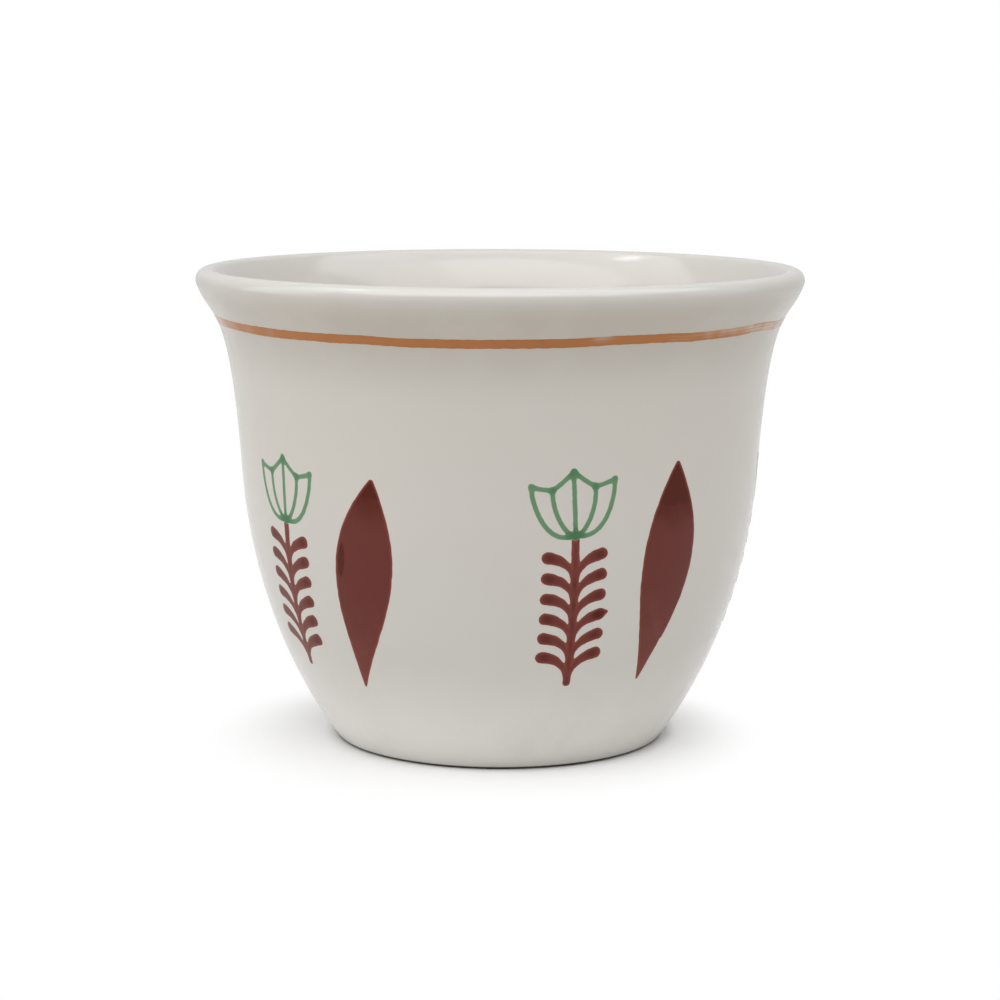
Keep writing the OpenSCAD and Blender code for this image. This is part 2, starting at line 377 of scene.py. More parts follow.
def bow_between(start: Array, end: Array, bulge: Array, steps: int = 8) -> Array:
    """A half round from one point to another, such as a glaze edge that rolls over.

    Args:
        start: First point, which is left out.
        end: Last point, which is left out.
        bulge: Direction in which the half round stands out.
        steps: Number of steps along it.

    Returns:
        The points between the two, one row each.
    """
    centre, radius = (start + end) / 2, np.linalg.norm(end - start) / 2
    way = bulge / np.linalg.norm(bulge)
    turns = np.linspace(0.0, math.pi, steps + 1)[1:-1, None]
    return centre + (start - centre) * np.cos(turns) + radius * way * np.sin(turns)


def places_of(mesh: Mesh) -> Array:
    """Places of a mesh's points, one row each."""
    return np.array([vert.co for vert in mesh.verts], float).reshape(-1, 3)


def move_to(mesh: Mesh, places: Array) -> None:
    """Moves a mesh's points to new places, one row for each point."""
    for vert, place in zip(mesh.verts, places):
        vert.co = place


def store(mesh: Mesh, **values: Array) -> None:
    """Stores numbers or places on a mesh's points, for its material to read.

    Args:
        mesh: The mesh.
        values: What to store under each name, one number or one row of three for each point.
    """
    for name, rows in values.items():
        layers = mesh.verts.layers
        layer = (layers.float_vector if rows.ndim > 1 else layers.float).new(name)
        for vert, row in zip(mesh.verts, rows.tolist()):
            vert[layer] = row


def lathe(profile: Array, segments: int, closed: bool = False) -> Mesh:
    """Turns a profile once round the axis, first one wedge and then its repeats.

    Args:
        profile: Radius and height of the profile's points in millimetres.
        segments: Number of segments round the axis, a multiple of WEDGES.
        closed: Whether the profile's last point joins its first.

    Returns:
        The mesh in millimetres, with closed poles and outward faces.
    """
    mesh = bmesh.new()
    verts = [mesh.verts.new((float(r), 0.0, float(z))) for r, z in profile]
    pairs = list(zip(verts, verts[1:])) + ([(verts[-1], verts[0])] if closed else [])
    edges = [mesh.edges.new(pair) for pair in pairs]
    wedge, axis = 2 * math.pi / WEDGES, {"cent": (0.0, 0.0, 0.0), "axis": (0.0, 0.0, 1.0)}
    bmesh.ops.spin(mesh, geom=verts + edges, angle=wedge, steps=segments // WEDGES, **axis)
    bmesh.ops.spin(
        mesh, geom=mesh.verts[:] + mesh.edges[:] + mesh.faces[:], angle=2 * math.pi - wedge,
        steps=WEDGES - 1, use_duplicate=True, **axis)
    bmesh.ops.remove_doubles(mesh, verts=mesh.verts[:], dist=DOUBLE)
    bmesh.ops.recalc_face_normals(mesh, faces=mesh.faces[:])
    return mesh


def hand_over(mesh: Mesh, name: str, nodes: tuple[str, ...], material: Material,
              crease: float = 50.0) -> Piece:
    """Makes a finished piece from a mesh in millimetres.

    Args:
        mesh: The mesh, which is used up.
        name: The piece's name.
        nodes: The frame's nodes that the piece stands for.
        material: The piece's material.
        crease: Angle in degrees past which an edge is drawn sharp.

    Returns:
        The object, which rides on the cup.
    """
    bmesh.ops.scale(mesh, vec=(MM, MM, MM), verts=mesh.verts[:])
    for edge in mesh.edges:
        edge.smooth = edge.calc_face_angle(0.0) < math.radians(crease)
    for face in mesh.faces:
        face.smooth = True
    data = bpy.data.meshes.new(name)
    mesh.to_mesh(data)
    mesh.free()
    data.materials.append(material)
    piece = bpy.data.objects.new(name, data)
    bpy.context.scene.collection.objects.link(piece)
    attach(piece, BODY)
    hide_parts(*nodes)
    log.info("%s: %d faces, stands for %s", name, len(data.polygons), ", ".join(nodes))
    return piece


@dataclass
class NodeSheet:
    """A node tree with short ways to add and join its nodes."""

    tree: bpy.types.NodeTree

    def add(self, kind: str, **settings: object) -> Node:
        """Adds a node.

        Args:
            kind: The node's type.
            settings: The node's own settings.

        Returns:
            The node.
        """
        node = self.tree.nodes.new(kind)
        for name, value in settings.items():
            setattr(node, name, value)
        return node

    def feed(self, socket: Socket, value: object) -> None:
        """Joins a socket to another, or sets it to a plain value.

        Args:
            socket: The socket to feed.
            value: Another node's output, or a plain value.
        """
        if isinstance(value, Socket):
            self.tree.links.new(value, socket)
        else:
            socket.default_value = value

    def fill_in(self, node: Node, **values: object) -> Node:
        """Feeds a node's inputs.

        Args:
            node: The node.
            values: Value or source of each input, with _ for a space in its name.

        Returns:
            The same node.
        """
        for name, value in values.items():
            self.feed(node.inputs[name.replace("_", " ")], value)
        return node

    def math(self, operation: str, *values: object) -> Socket:
        """Result of a calculation.

        Args:
            operation: What the node works out.
            values: Up to three values or sources.

        Returns:
            The result.
        """
        node = self.add("ShaderNodeMath", operation=operation)
        for socket, value in zip(node.inputs, values):
            self.feed(socket, value)
        return node.outputs["Value"]

    def place(self) -> Socket:
        """Where a point lies on its piece, in metres."""
        return self.add("ShaderNodeTexCoord").outputs["Object"]

    def attribute(self, name: str, output: str = "Fac") -> Socket:
        """What the piece stores on its points under a name."""
        return self.add("ShaderNodeAttribute", attribute_name=name).outputs[output]

    def parts(self, place: Socket) -> list[Socket]:
        """A place's distances along the three axes."""
        return list(self.fill_in(self.add("ShaderNodeSeparateXYZ"), Vector=place).outputs)

    def noise(self, place: Socket, scale: float, detail: float, roughness: float = 0.5) -> Socket:
        """Noise between 0 and 1.

        Args:
            place: Where the noise is read.
            scale: Swells for each metre.
            detail: Number of finer layers.
            roughness: Strength of each finer layer.

        Returns:
            The noise's value.
        """
        node = self.add("ShaderNodeTexNoise")
        self.fill_in(node, Vector=place, Scale=scale, Detail=detail, Roughness=roughness)
        return node.outputs["Fac"]

    def ramp(self, value: Socket, low: float, high: float | Socket, to_low: float = 0.0,
             to_high: float = 1.0) -> Socket:
        """A value carried from one range to another with soft ends.

        Args:
            value: The value to carry over.
            low: Start of its range.
            high: End of its range.
            to_low: Result at the start and before it.
            to_high: Result at the end and past it.

        Returns:
            The carried value.
        """
        node = self.add("ShaderNodeMapRange", interpolation_type="SMOOTHSTEP")
        self.fill_in(
            node, Value=value, From_Min=low, From_Max=high, To_Min=to_low, To_Max=to_high)
        return node.outputs["Result"]

    def blend(self, factor: Socket, first: Colour | Socket, second: Colour | Socket) -> Socket:
        """A colour between two others.

        Args:
            factor: 0 for the first colour and 1 for the second.
            first: First colour, or the socket that gives it.
            second: Second colour, or the socket that gives it.

        Returns:
            The blended colour.
        """
        node = self.add("ShaderNodeMix", data_type="RGBA")
        for number, value in zip(MIX_INPUTS, (factor, first, second)):
            self.feed(node.inputs[number], (*value, 1.0) if isinstance(value, tuple) else value)
        return node.outputs[MIX_OUTPUT]

    def coats(self, lowest: Colour, *above: tuple[Socket, Colour]) -> Socket:
        """A colour with others laid over it in turn.

        Args:
            lowest: The lowest colour.
            above: Mask and colour of each coat, from the lowest up.

        Returns:
            The colour that shows.
        """
        tone = lowest
        for mask, colour in above:
            tone = self.blend(mask, tone, colour)
        return tone

    def shared(self, first: Socket, second: Socket, share: float) -> Socket:
        """Two values mixed, the first with the given share."""
        return self.math("MULTIPLY_ADD", first, share, self.math("MULTIPLY", second, 1 - share))

    def relief(self, shader: Node, height: Socket) -> None:
        """Gives a shader a relief whose height is in metres."""
        bump = self.fill_in(self.add("ShaderNodeBump"), Distance=1.0, Strength=1.0, Height=height)
        self.feed(shader.inputs["Normal"], bump.outputs["Normal"])

    def mirrored(self, path: Node) -> Socket:
        """1 for the rays that glossy or clear surfaces send out, from a Light Path node."""
        rays = path.outputs
        return self.math("MAXIMUM", rays["Is Glossy Ray"], rays["Is Transmission Ray"])


def new_material(name: str) -> tuple[Material, NodeSheet, Node]:
    """A material with a plain Principled shader.

    Args:
        name: The material's name.

    Returns:
        The material, its sheet and its shader node.
    """
    material = bpy.data.materials.new(name)
    material.use_nodes = True
    return material, NodeSheet(material.node_tree), material.node_tree.nodes["Principled BSDF"]


class Effect:
    """A shader node group that materials share, whose outputs only vary over a surface."""

    title = "effect"
    source = "Place"
    amounts: tuple[tuple[str, float], ...] = ()
    outputs: tuple[str, ...] = ()

    def place(self, sheet: NodeSheet, **values: object) -> bpy.types.NodeOutputs:
        """Places the group in a material, and builds it the first time.

        Args:
            sheet: The material's sheet.
            values: Value or source of each input, with _ for a space in its name.

        Returns:
            The placed group's outputs.
        """
        tree = bpy.data.node_groups.get(self.title) or self.tree()
        return sheet.fill_in(sheet.add("ShaderNodeGroup", node_tree=tree), **values).outputs

    def tree(self) -> bpy.types.NodeTree:
        """Makes the group with its sockets and its nodes.

        Returns:
            The group's tree.
        """
        tree = bpy.data.node_groups.new(self.title, "ShaderNodeTree")
        new_socket = tree.interface.new_socket
        new_socket(name=self.source, in_out="INPUT", socket_type="NodeSocketVector")
        for name, start in self.amounts:
            socket = new_socket(name=name, in_out="INPUT", socket_type="NodeSocketFloat")
            socket.default_value = start
        for name in self.outputs:
            new_socket(name=name, in_out="OUTPUT", socket_type="NodeSocketFloat")
        sheet = NodeSheet(tree)
        self.fill(sheet, sheet.add("NodeGroupInput").outputs, sheet.add("NodeGroupOutput"))
        return tree

    def fill(self, sheet: NodeSheet, given: bpy.types.NodeOutputs, end: Node) -> None:
        """Builds the nodes between the group's inputs and its end node."""
        raise NotImplementedError


class SkinEffect(Effect):
    """Slow waves, fine pitting and pinholes of a fired skin."""

    title = "fired_skin"
    amounts = (("Wave Height", 0.00002), ("Pit Height", 0.000002))
    outputs = ("Mottle", "Specks", "Height")
    wave_scale = 70.0
    cloud_scale = 190.0
    pit_scale = 1400.0
    speck_scale = 150.0
    speck_share = (0.86, 0.9)
    speck_size = (0.012, 0.03)
    wave_share = 0.6

    def fill(self, sheet: NodeSheet, given: bpy.types.NodeOutputs, end: Node) -> None:
        """Builds the nodes between the group's inputs and its end node.

        Args:
            sheet: The group's sheet.
            given: The group's inputs.
            end: The node that takes the group's outputs.
        """
        place = given["Place"]
        slow = sheet.noise(place, self.wave_scale, 2.0, 0.5)
        cloudy = sheet.noise(place, self.cloud_scale, 3.0, 0.6)
        pits = sheet.noise(place, self.pit_scale, 1.0, 0.5)
        specks = sheet.fill_in(
            sheet.add("ShaderNodeTexVoronoi"), Vector=place, Scale=self.speck_scale).outputs
        rare = sheet.ramp(specks["Color"], *self.speck_share)
        dot = sheet.ramp(specks["Distance"], *self.speck_size, 1.0, 0.0)
        waves = sheet.math("MULTIPLY", slow, given["Wave Height"])
        pitting = sheet.math("MULTIPLY", pits, given["Pit Height"])
        sheet.fill_in(
            end, Mottle=sheet.shared(slow, cloudy, self.wave_share),
            Specks=sheet.math("MULTIPLY", rare, dot), Height=sheet.math("ADD", waves, pitting))


class BrushEffect(Effect):
    """Streaks, thin places and the darker rim that a loaded brush leaves."""

    title = "brushed_paint"
    source = "Brush"
    amounts = (("Depth", 0.0), ("Rim Width", 0.2), ("Streak Strength", 0.5))
    outputs = ("Streaks", "Rim", "Height")
    stretch = (3.2, 0.25, 1.0)
    cloud_scale = 0.7
    streak_share = 0.6
    relief_height = 0.000004

    def fill(self, sheet: NodeSheet, given: bpy.types.NodeOutputs, end: Node) -> None:
        """Builds the nodes between the group's inputs and its end node.

        Args:
            sheet: The group's sheet.
            given: The group's inputs.
            end: The node that takes the group's outputs.
        """
        stretched = sheet.fill_in(
            sheet.add("ShaderNodeMapping"), Vector=given["Brush"], Scale=self.stretch)
        along = sheet.noise(stretched.outputs["Vector"], 1.0, 3.0, 0.55)
        cloudy = sheet.noise(given["Brush"], self.cloud_scale, 2.0, 0.5)
        mixed = sheet.shared(along, cloudy, self.streak_share)
        centred = sheet.math(
            "MULTIPLY", sheet.math("SUBTRACT", mixed, 0.5), given["Streak Strength"])
        sheet.fill_in(
            end, Streaks=sheet.math("ADD", centred, 0.5),
            Rim=sheet.ramp(given["Depth"], 0.0, given["Rim Width"], 1.0, 0.0),
            Height=sheet.math("MULTIPLY", mixed, self.relief_height))


@dataclass(frozen=True)
class GlazeFinish:
    """Glossy warm white glaze, with painted light and painted shade in its tone.

    A band is the range of heights in metres, or of the glaze's mottle, over which a tone or the
    roughness changes.
    """

    # painted light: the lowest wall is lighter, standing in for light bounced off the floor
    floor_bounce_colour: Colour = (0.86, 0.835, 0.79)
    colour: Colour = (0.67, 0.643, 0.603)
    # painted shade: the wall from the waist up is darker and warmer, for the shade of the lip
    thin_paint_and_upper_shade_colour: Colour = (0.664, 0.628, 0.572)
    # painted light: the inside is a lighter copy of the glaze, where the light from above falls
    inside_light_colour: Colour = (0.705, 0.675, 0.63)
    # painted light: the bead is a lighter, cooler copy of the glaze, where the light from above
    # falls
    bead_light_colour: Colour = (0.675, 0.655, 0.62)
    # painted shade: the outside band under the lip is darker, for the shade of the lip's overhang
    under_lip_shade_colour: Colour = (0.525, 0.48, 0.42)
    deep_colour: Colour = (0.66, 0.625, 0.555)
    speck_colour: Colour = (0.40, 0.31, 0.23)
    # painted shadow: the glaze's lowest edge turns near black, for the shaded gap under the foot
    foot_edge_shadow_colour: Colour = (0.045, 0.03, 0.022)
    floor_bounce_band: tuple[float, float] = (0.001, 0.014)
    upper_shade_band: tuple[float, float] = (0.016, 0.038)
    bead_light_band: tuple[float, float] = (0.05, 0.052)
    foot_edge_shadow_band: tuple[float, float] = (0.00018, 0.00034)
    deep_band: tuple[float, float] = (0.4, 0.75)
    rough_band: tuple[float, float] = (0.3, 0.8)
    roughness: tuple[float, float] = (0.1, 0.17)
    deep_share: float = 0.4
    speck_share: float = 0.6
    wave_height: float = 0.00003
    pit_height: float = 0.0000012

    def material(self) -> Material:
        """Builds the glaze's material.

        Returns:
            The material. It reads the piece's own inside and lip_shade attributes.
        """
        material, sheet, shader = new_material("clear_glaze")
        place = sheet.place()
        height = sheet.parts(place)[2]
        skin = SkinEffect().place(
            sheet, Place=place, Wave_Height=self.wave_height, Pit_Height=self.pit_height)
        # painted light and shade in the coats: lighter low down, inside and on the bead, darker up
        # the wall and under the lip, near black at the foot edge
        tone = sheet.coats(
            self.floor_bounce_colour,
            (sheet.ramp(height, *self.floor_bounce_band), self.colour),
            (sheet.ramp(height, *self.upper_shade_band), self.thin_paint_and_upper_shade_colour),
            (sheet.attribute("inside"), self.inside_light_colour),
            (sheet.ramp(height, *self.bead_light_band), self.bead_light_colour),
            (sheet.attribute("lip_shade"), self.under_lip_shade_colour),
            (sheet.ramp(skin["Mottle"], *self.deep_band, 0.0, self.deep_share), self.deep_colour),
            (sheet.math("MULTIPLY", skin["Specks"], self.speck_share), self.speck_colour),
            (sheet.ramp(height, *self.foot_edge_shadow_band, 1.0, 0.0), self.foot_edge_shadow_colour))
        rough = sheet.ramp(skin["Mottle"], *self.rough_band, *self.roughness)
        sheet.fill_in(shader, Base_Color=tone, Roughness=rough, IOR=GLASS_IOR)
        sheet.relief(shader, skin["Height"])
        return material


@dataclass(frozen=True)
class ClayFinish:
    """Bare fired clay of the foot ring, fine and dry, with turning marks, grit and a painted
    shadow at its outer edge.

    Heights and radii are in metres.
    """

    colour: Colour = (0.62, 0.52, 0.40)
    worn_colour: Colour = (0.50, 0.41, 0.31)
    grit_colour: Colour = (0.22, 0.15, 0.10)
    # painted shadow: the ring's outer edge turns near black, for the shaded gap where it meets the
    # floor
    contact_shadow_colour: Colour = (0.09, 0.072, 0.06)
    grit_band: tuple[float, float] = (0.62, 0.72)
    grit_share: float = 0.5
    contact_shadow_radii: tuple[float, float] = (0.0175, 0.0182)
    contact_shadow_share: float = 0.95
    rough_band: tuple[float, float] = (0.2, 0.8)
    roughness: tuple[float, float] = (0.72, 0.9)
    wave_height: float = 0.00002
    pit_height: float = 0.000012
    turning_height: float = 0.000006
    turning_scale: float = 420.0
    turning_bend: float = 2.0

    def material(self) -> Material:
        """Builds the clay's material.

        Returns:
            The material.
        """
        material, sheet, shader = new_material("fired_clay")
        place = sheet.place()
        x, y, _ = sheet.parts(place)
        skin = SkinEffect().place(
            sheet, Place=place, Wave_Height=self.wave_height, Pit_Height=self.pit_height)
        rings = sheet.fill_in(
            sheet.add("ShaderNodeTexWave", wave_type="RINGS", rings_direction="Z"),
            Vector=place, Scale=self.turning_scale, Distortion=self.turning_bend)
        grit = sheet.ramp(sheet.noise(place, 2600.0, 2.0, 0.6), *self.grit_band)
        square = sheet.math("MULTIPLY_ADD", x, x, sheet.math("MULTIPLY", y, y))
        # painted shadow, darkest at the ring's outer edge
        contact_shadow = sheet.ramp(sheet.math("SQRT", square), *self.contact_shadow_radii, 0.0, self.contact_shadow_share)
        tone = sheet.coats(
            self.colour,
            (skin["Mottle"], self.worn_colour),
            (sheet.math("MULTIPLY", grit, self.grit_share), self.grit_colour),
            (contact_shadow, self.contact_shadow_colour))
        rough = sheet.ramp(skin["Mottle"], *self.rough_band, *self.roughness)
        sheet.fill_in(shader, Base_Color=tone, Roughness=rough)
        turned = sheet.math("MULTIPLY", rings.outputs["Fac"], self.turning_height)
        sheet.relief(shader, sheet.math("ADD", turned, skin["Height"]))
        return material


class PaintKind(enum.Enum):
    """The three fired colours."""

    GREEN = "green_paint"
    BROWN = "brown_paint"
    ORANGE = "orange_paint"


@dataclass(frozen=True)
class PaintFinish:
    """Fired paint whose tone follows how much of it the brush left."""

    kind: PaintKind
    # the colour where the paint lies thin
    thin_paint_and_upper_shade_colour: Colour
    full_colour: Colour
    heavy_colour: Colour
    rim_colour: Colour
    rim_width: float
    rim_strength: float
    streak_strength: float
    full_load: float = 0.6
    heavy_load: float = 1.3
    rough_band: tuple[float, float] = (0.3, 0.7)
    roughness: tuple[float, float] = (0.16, 0.26)
    specular: float = 0.14

    def material(self) -> Material:
        """Builds the paint's material.

        Returns:
            The material. It reads the piece's own depth, load and brush attributes.
        """
        material, sheet, shader = new_material(self.kind.value)
        strokes = BrushEffect().place(
            sheet, Brush=sheet.attribute("brush", "Vector"), Depth=sheet.attribute("depth"),
            Rim_Width=self.rim_width, Streak_Strength=self.streak_strength)
        streak = sheet.math("SUBTRACT", strokes["Streaks"], 0.5)
        amount = sheet.math("ADD", sheet.attribute("load"), streak)
        tone = sheet.coats(
            self.thin_paint_and_upper_shade_colour,
            (sheet.ramp(amount, 0.0, self.full_load), self.full_colour),
            (sheet.ramp(amount, self.full_load, self.heavy_load), self.heavy_colour),
            (sheet.math("MULTIPLY", strokes["Rim"], self.rim_strength), self.rim_colour))
        rough = sheet.ramp(strokes["Streaks"], *self.rough_band, *self.roughness)
        sheet.fill_in(
            shader, Base_Color=tone, Roughness=rough, IOR=GLASS_IOR,
            Specular_IOR_Level=self.specular)
        sheet.relief(shader, strokes["Height"])
        return material


@dataclass
class ClayBody:
    """The fired clay: wall, floor and the bare standing ring of the foot."""

    section: Section
    segments: int = 264
    fineness: float = 0.6
    crease: float = 30.0

    def build(self, material: Material) -> Piece:
        """Turns the clay's section once round.

        Args:
            material: The fired clay.

        Returns:
            The piece.
        """
        section = self.section
        skin = section.face(-section.glaze_thickness, self.fineness)
        ring_in = section.recess_radius + section.glaze_thickness + section.foot_bevel
        ring_out = skin[0][0] - section.foot_bevel
        ring = np.linspace([ring_in, 0.0], [ring_out, 0.0], 6)
        profile = np.concatenate([section.recess(section.glaze_thickness), ring, skin])
        mesh = lathe(profile, self.segments)
        return hand_over(mesh, "clay_body", ("cup_body",), material, self.crease)


@dataclass
class GlazeCoat:
    """The glaze over the outside, the lip and the inside, rolled over at the foot."""

    section: Section
    segments: int = 264
    hidden_fineness: float = 0.4
    shade_start: float = 40.0
    shade_end: float = 49.5
    skin_tolerance: float = 0.1

    def build(self, material: Material) -> Piece:
        """Turns the glaze's section once round and stores the band of painted shade under the lip
        and which points lie inside.

        Args:
            material: The clear glaze.

        Returns:
            The piece.
        """
        section = self.section
        outer = section.face(0.0, 1.0)
        inner = section.face(-section.glaze_thickness, self.hidden_fineness)[::-1]
        roll = bow_between(inner[-1], outer[0], -heading(section.foot_lean))
        mesh = lathe(np.concatenate([inner, roll, outer]), self.segments)
        places = places_of(mesh)
        radii, heights = np.hypot(places[:, 0], places[:, 1]), places[:, 2]
        outside = radii > section.wall(heights)[0] - self.skin_tolerance
        # painted shade: lip_shade marks the outside band under the lip that the glaze's colour
        # darkens
        below = smooth_step((heights - self.shade_start) / (self.shade_end - self.shade_start))
        above = smooth_step((heights - self.shade_end) / (section.cup_height - self.shade_end))
        store(mesh, lip_shade=outside * below * (1 - above), inside=1.0 - outside)
        return hand_over(mesh, "glaze_coat_skin", ("glaze_coat",), material)


@dataclass
class FootGlaze:
    """The glaze in the recess, cut off from the rest by the wiped foot ring."""

    section: Section
    segments: int = 192

    def build(self, material: Material) -> Piece:
        """Turns the recess glaze's section once round.

        Args:
            material: The clear glaze.

        Returns:
            The piece.
        """
        section = self.section
        face = section.recess(0.0)
        back = section.recess(section.glaze_thickness)[::-1]
        roll = bow_between(face[-1], back[0], np.array([0.0, -1.0]))
        mesh = lathe(np.concatenate([face, roll, back]), self.segments)
        return hand_over(mesh, "foot_glaze_skin", ("foot_glaze",), material)


@dataclass
class RimLine:
    """The orange line under the lip, brushed round in one turn.

    Sizes are in millimetres and turns in degrees to the right of the front. The brush is dipped
    again at fresh_turn, runs dry from dry_turn on, and leaves only hairs from end_turn to
    fade_turn. Loads are amounts of paint, and a tilt is how much more of it lies at the lower
    edge.
    """

    section: Section
    height: float = 47.3
    rise: float = 0.12
    width: float = 0.9
    lift: float = 0.014
    under: float = 0.03
    shoulder: float = 0.2
    segments: int = 1080
    across: int = 14
    crease: float = 60.0
    fresh_turn: float = 15.5
    dry_turn: float = 36.0
    end_turn: float = 57.0
    fade_turn: float = 80.0
    load_turns: tuple = (
        -180, -110, -76, -66, -50, -30, -8, 14, 18, 24, 32, 42, 54, 60, 68, 78, 100, 140, 180)
    loads: tuple = (
        0.6, 0.55, 0.24, 0.46, 0.58, 0.6, 0.72, 0.82, 0.5, 0.62, 0.58, 0.42, 0.4, 0.36, 0.3,
        0.13, 0.3, 0.55, 0.6)
    drift_turns: tuple = (
        -180, -100, -76, -62, -48, -34, -26, -18, 0, 12, 22, 30, 38, 46, 56, 62, 70, 90, 180)
    drifts: tuple = (
        0.0, 0.1, 0.2, 0.1, -0.03, -0.05, 0.0, -0.16, -0.14, -0.09, 0.1, 0.1, -0.01, 0.06, 0.17,
        0.2, 0.0, 0.0, 0.0)
    swell_marks: Marks = ((0.05, 0.9, 1.3), (0.05, 0.13, 4.1))
    blotch_marks: Marks = ((0.05, 4.0, 8.0),)
    upper_marks: Marks = ((0.06, 0.37, 2.0), (0.05, 0.06, 5.0))
    lower_marks: Marks = ((0.08, 0.41, 7.0), (0.07, 0.05, 9.0))
    upper_start: float = 1.04
    lower_start: float = 1.08
    stepped_upper: float = 1.1
    stepped_lower: float = 0.85
    band_depth: float = 1.0
    hair_loads: tuple[float, float] = (0.02, 0.04)
    hair_count: float = 9.0
    fresh_length: float = 2.0
    fresh_hold: float = 3.5
    worn_length: float = 8.0
    fresh_tilt: float = 0.16
    dry_tilt: float = 0.12
    tail_length: float = 30.0
    tail_edge_load: float = 0.12
    tail_loss: float = 0.04
    least_load: float = 0.03
    most_load: float = 1.2

    def load_at(self, turns: Array, across: Array) -> Array:
        """How much paint the brush left.

        Args:
            turns: Turn to the right of the front, in degrees.
            across: Place across the line, from -1 at its lower edge to 1.

        Returns:
            The load, from 0 for bare glaze to about 1.
        """
        swells = unevenness(heading(turns), self.swell_marks)
        bristles = np.sin(self.hair_count * across + 2.0 * np.sin(np.radians(3 * turns)))
        hairs = np.where(turns > self.fresh_turn - 1.5, *self.hair_loads[::-1]) * bristles
        along = np.stack([np.radians(turns) * 30.0, 0.5 * across], axis=-1)
        blotches = unevenness(along, self.blotch_marks)
        load = np.interp(turns, self.load_turns, self.loads) + swells + hairs + blotches
        dipped = turns - self.fresh_turn
        worn = smooth_step((dipped - self.fresh_hold) / self.worn_length)
        fresh = smooth_step(dipped / self.fresh_length) * (1 - worn)
        dry = smooth_step((turns - self.dry_turn) / self.worn_length) * (turns < self.end_turn)
        load -= self.fresh_tilt * fresh * across + self.dry_tilt * dry * across
        tail = (turns > self.end_turn) & (turns < self.fade_turn + self.tail_length)
        edges = self.tail_edge_load * np.abs(across) ** 3
        load += np.where(tail, edges - self.tail_loss, 0.0)
        return np.clip(load, self.least_load, self.most_load)

    def band(self) -> Mesh:
        """A plain band round the wall, with a face on either side of it.

        Returns:
            The mesh in millimetres.
        """
        heights = self.height + self.width / 2 * np.linspace(-1.0, 1.0, self.across + 1)
        radii, _ = self.section.wall(heights)
        top = np.stack([radii + self.band_depth, heights], axis=-1)
        bottom = np.stack([radii - self.band_depth, heights], axis=-1)[::-1]
        return lathe(np.concatenate([top, bottom]), self.segments, closed=True)

    def reach(self, turns: Array, across: Array) -> Array:
        """Distance from the line's middle to its edge on the side where each point lies.

        Args:
            turns: Turn to the right of the front, in degrees.
            across: Place across the line, from -1 at its lower edge to 1.

        Returns:
            The distance in millimetres.
        """
        ring, half = heading(turns), self.width / 2
        upper = half * unevenness(ring, self.upper_marks, start=self.upper_start)
        lower = half * unevenness(ring, self.lower_marks, start=self.lower_start)
        stepped = (turns > self.end_turn) & (turns < self.fade_turn)
        return np.where(across > 0, upper * np.where(stepped, self.stepped_upper, 1.0),
                        lower * np.where(stepped, self.stepped_lower, 1.0))

    def build(self, material: Material) -> Piece:
        """Turns a thin band and gives it a hand's uneven edges.

        Args:
            material: The orange paint.

        Returns:
            The piece.
        """
        half, section, mesh = self.width / 2, self.section, self.band()
        places = places_of(mesh)
        turns = np.degrees(np.arctan2(places[:, 0], -places[:, 1]))
        across = (places[:, 2] - self.height) / half
        outer = np.hypot(places[:, 0], places[:, 1]) > section.wall(places[:, 2])[0]
        drift = np.interp(turns, self.drift_turns, self.drifts)
        heights = self.height + self.rise + drift + across * self.reach(turns, across)
        depth = np.clip((1 - np.abs(across)) * half, 0.0, None)
        lift = paint_lift(depth, outer, self.lift, self.under, self.shoulder)
        flat = section.on_wall(np.zeros(len(heights)), heights, lift)
        turn = np.radians(turns)
        move_to(mesh, np.stack(
            [-flat[:, 1] * np.sin(turn), flat[:, 1] * np.cos(turn), flat[:, 2]], axis=-1))
        bmesh.ops.recalc_face_normals(mesh, faces=mesh.faces[:])
        brush = np.stack([across * half, turn * section.wall(heights)[0], 0 * turn], axis=-1)
        store(mesh, depth=depth, load=self.load_at(turns, across), brush=brush)
        return hand_over(
            mesh, "rim_line_paint", ("rim_line",), material, self.crease)


def line_gaps(places: Array, line: Array) -> tuple[Array, Array]:
    """Distance from each place to each piece of a line.

    Args:
        places: Flat places, one row each.
        line: The line's points, one row each.

    Returns:
        The distances and the nearest places as shares along each piece, places by pieces.
    """
    starts, runs = line[:-1], np.diff(line, axis=0)
    squares = (runs ** 2).sum(axis=1)
    x, y = (places[:, axis:axis + 1] - starts[:, axis] for axis in (0, 1))
    along = np.clip((x * runs[:, 0] + y * runs[:, 1]) / squares, 0.0, 1.0)
    return np.hypot(x - along * runs[:, 0], y - along * runs[:, 1]), along


def soft_union(distances: list[Array], blend: float) -> Array:
    """Distance from strokes whose wet edges flow into each other.

    Args:
        distances: Distance from each stroke.
        blend: How far apart edges still flow together, in millimetres.

    Returns:
        One distance for each place.
    """
    joined = distances[0]
    for other in distances[1:]:
        overlap = np.clip(blend - np.abs(joined - other), 0.0, None) / blend
        joined = np.minimum(joined, other) - overlap ** 2 * blend / 4
    return joined


@dataclass(frozen=True)
class Stroke:
    """A brush stroke along a curve, with a round end at both ends."""

    curve: Curve
    start_width: float
    end_width: float
    steps: int = 36

    def distance(self, places: Array) -> Array:
        """Distance from the stroke's edge, below zero inside it.

        Args:
            places: Flat places in millimetres, one row each.

        Returns:
            One distance for each place, FAR where the stroke is further off than that.
        """
        shares = np.linspace(0.0, 1.0, self.steps + 1)
        line = self.curve.at(shares)
        widening = (self.end_width - self.start_width) * smooth_step(shares)
        halves = (self.start_width + widening) / 2
        beyond = np.maximum(line.min(axis=0) - places, places - line.max(axis=0)).max(axis=1)
        near = beyond < FAR
        gaps, along = line_gaps(places[near], line)
        found = np.full(len(places), FAR)
        found[near] = (gaps - (halves[:-1] + along * np.diff(halves))).min(axis=1)
        return found


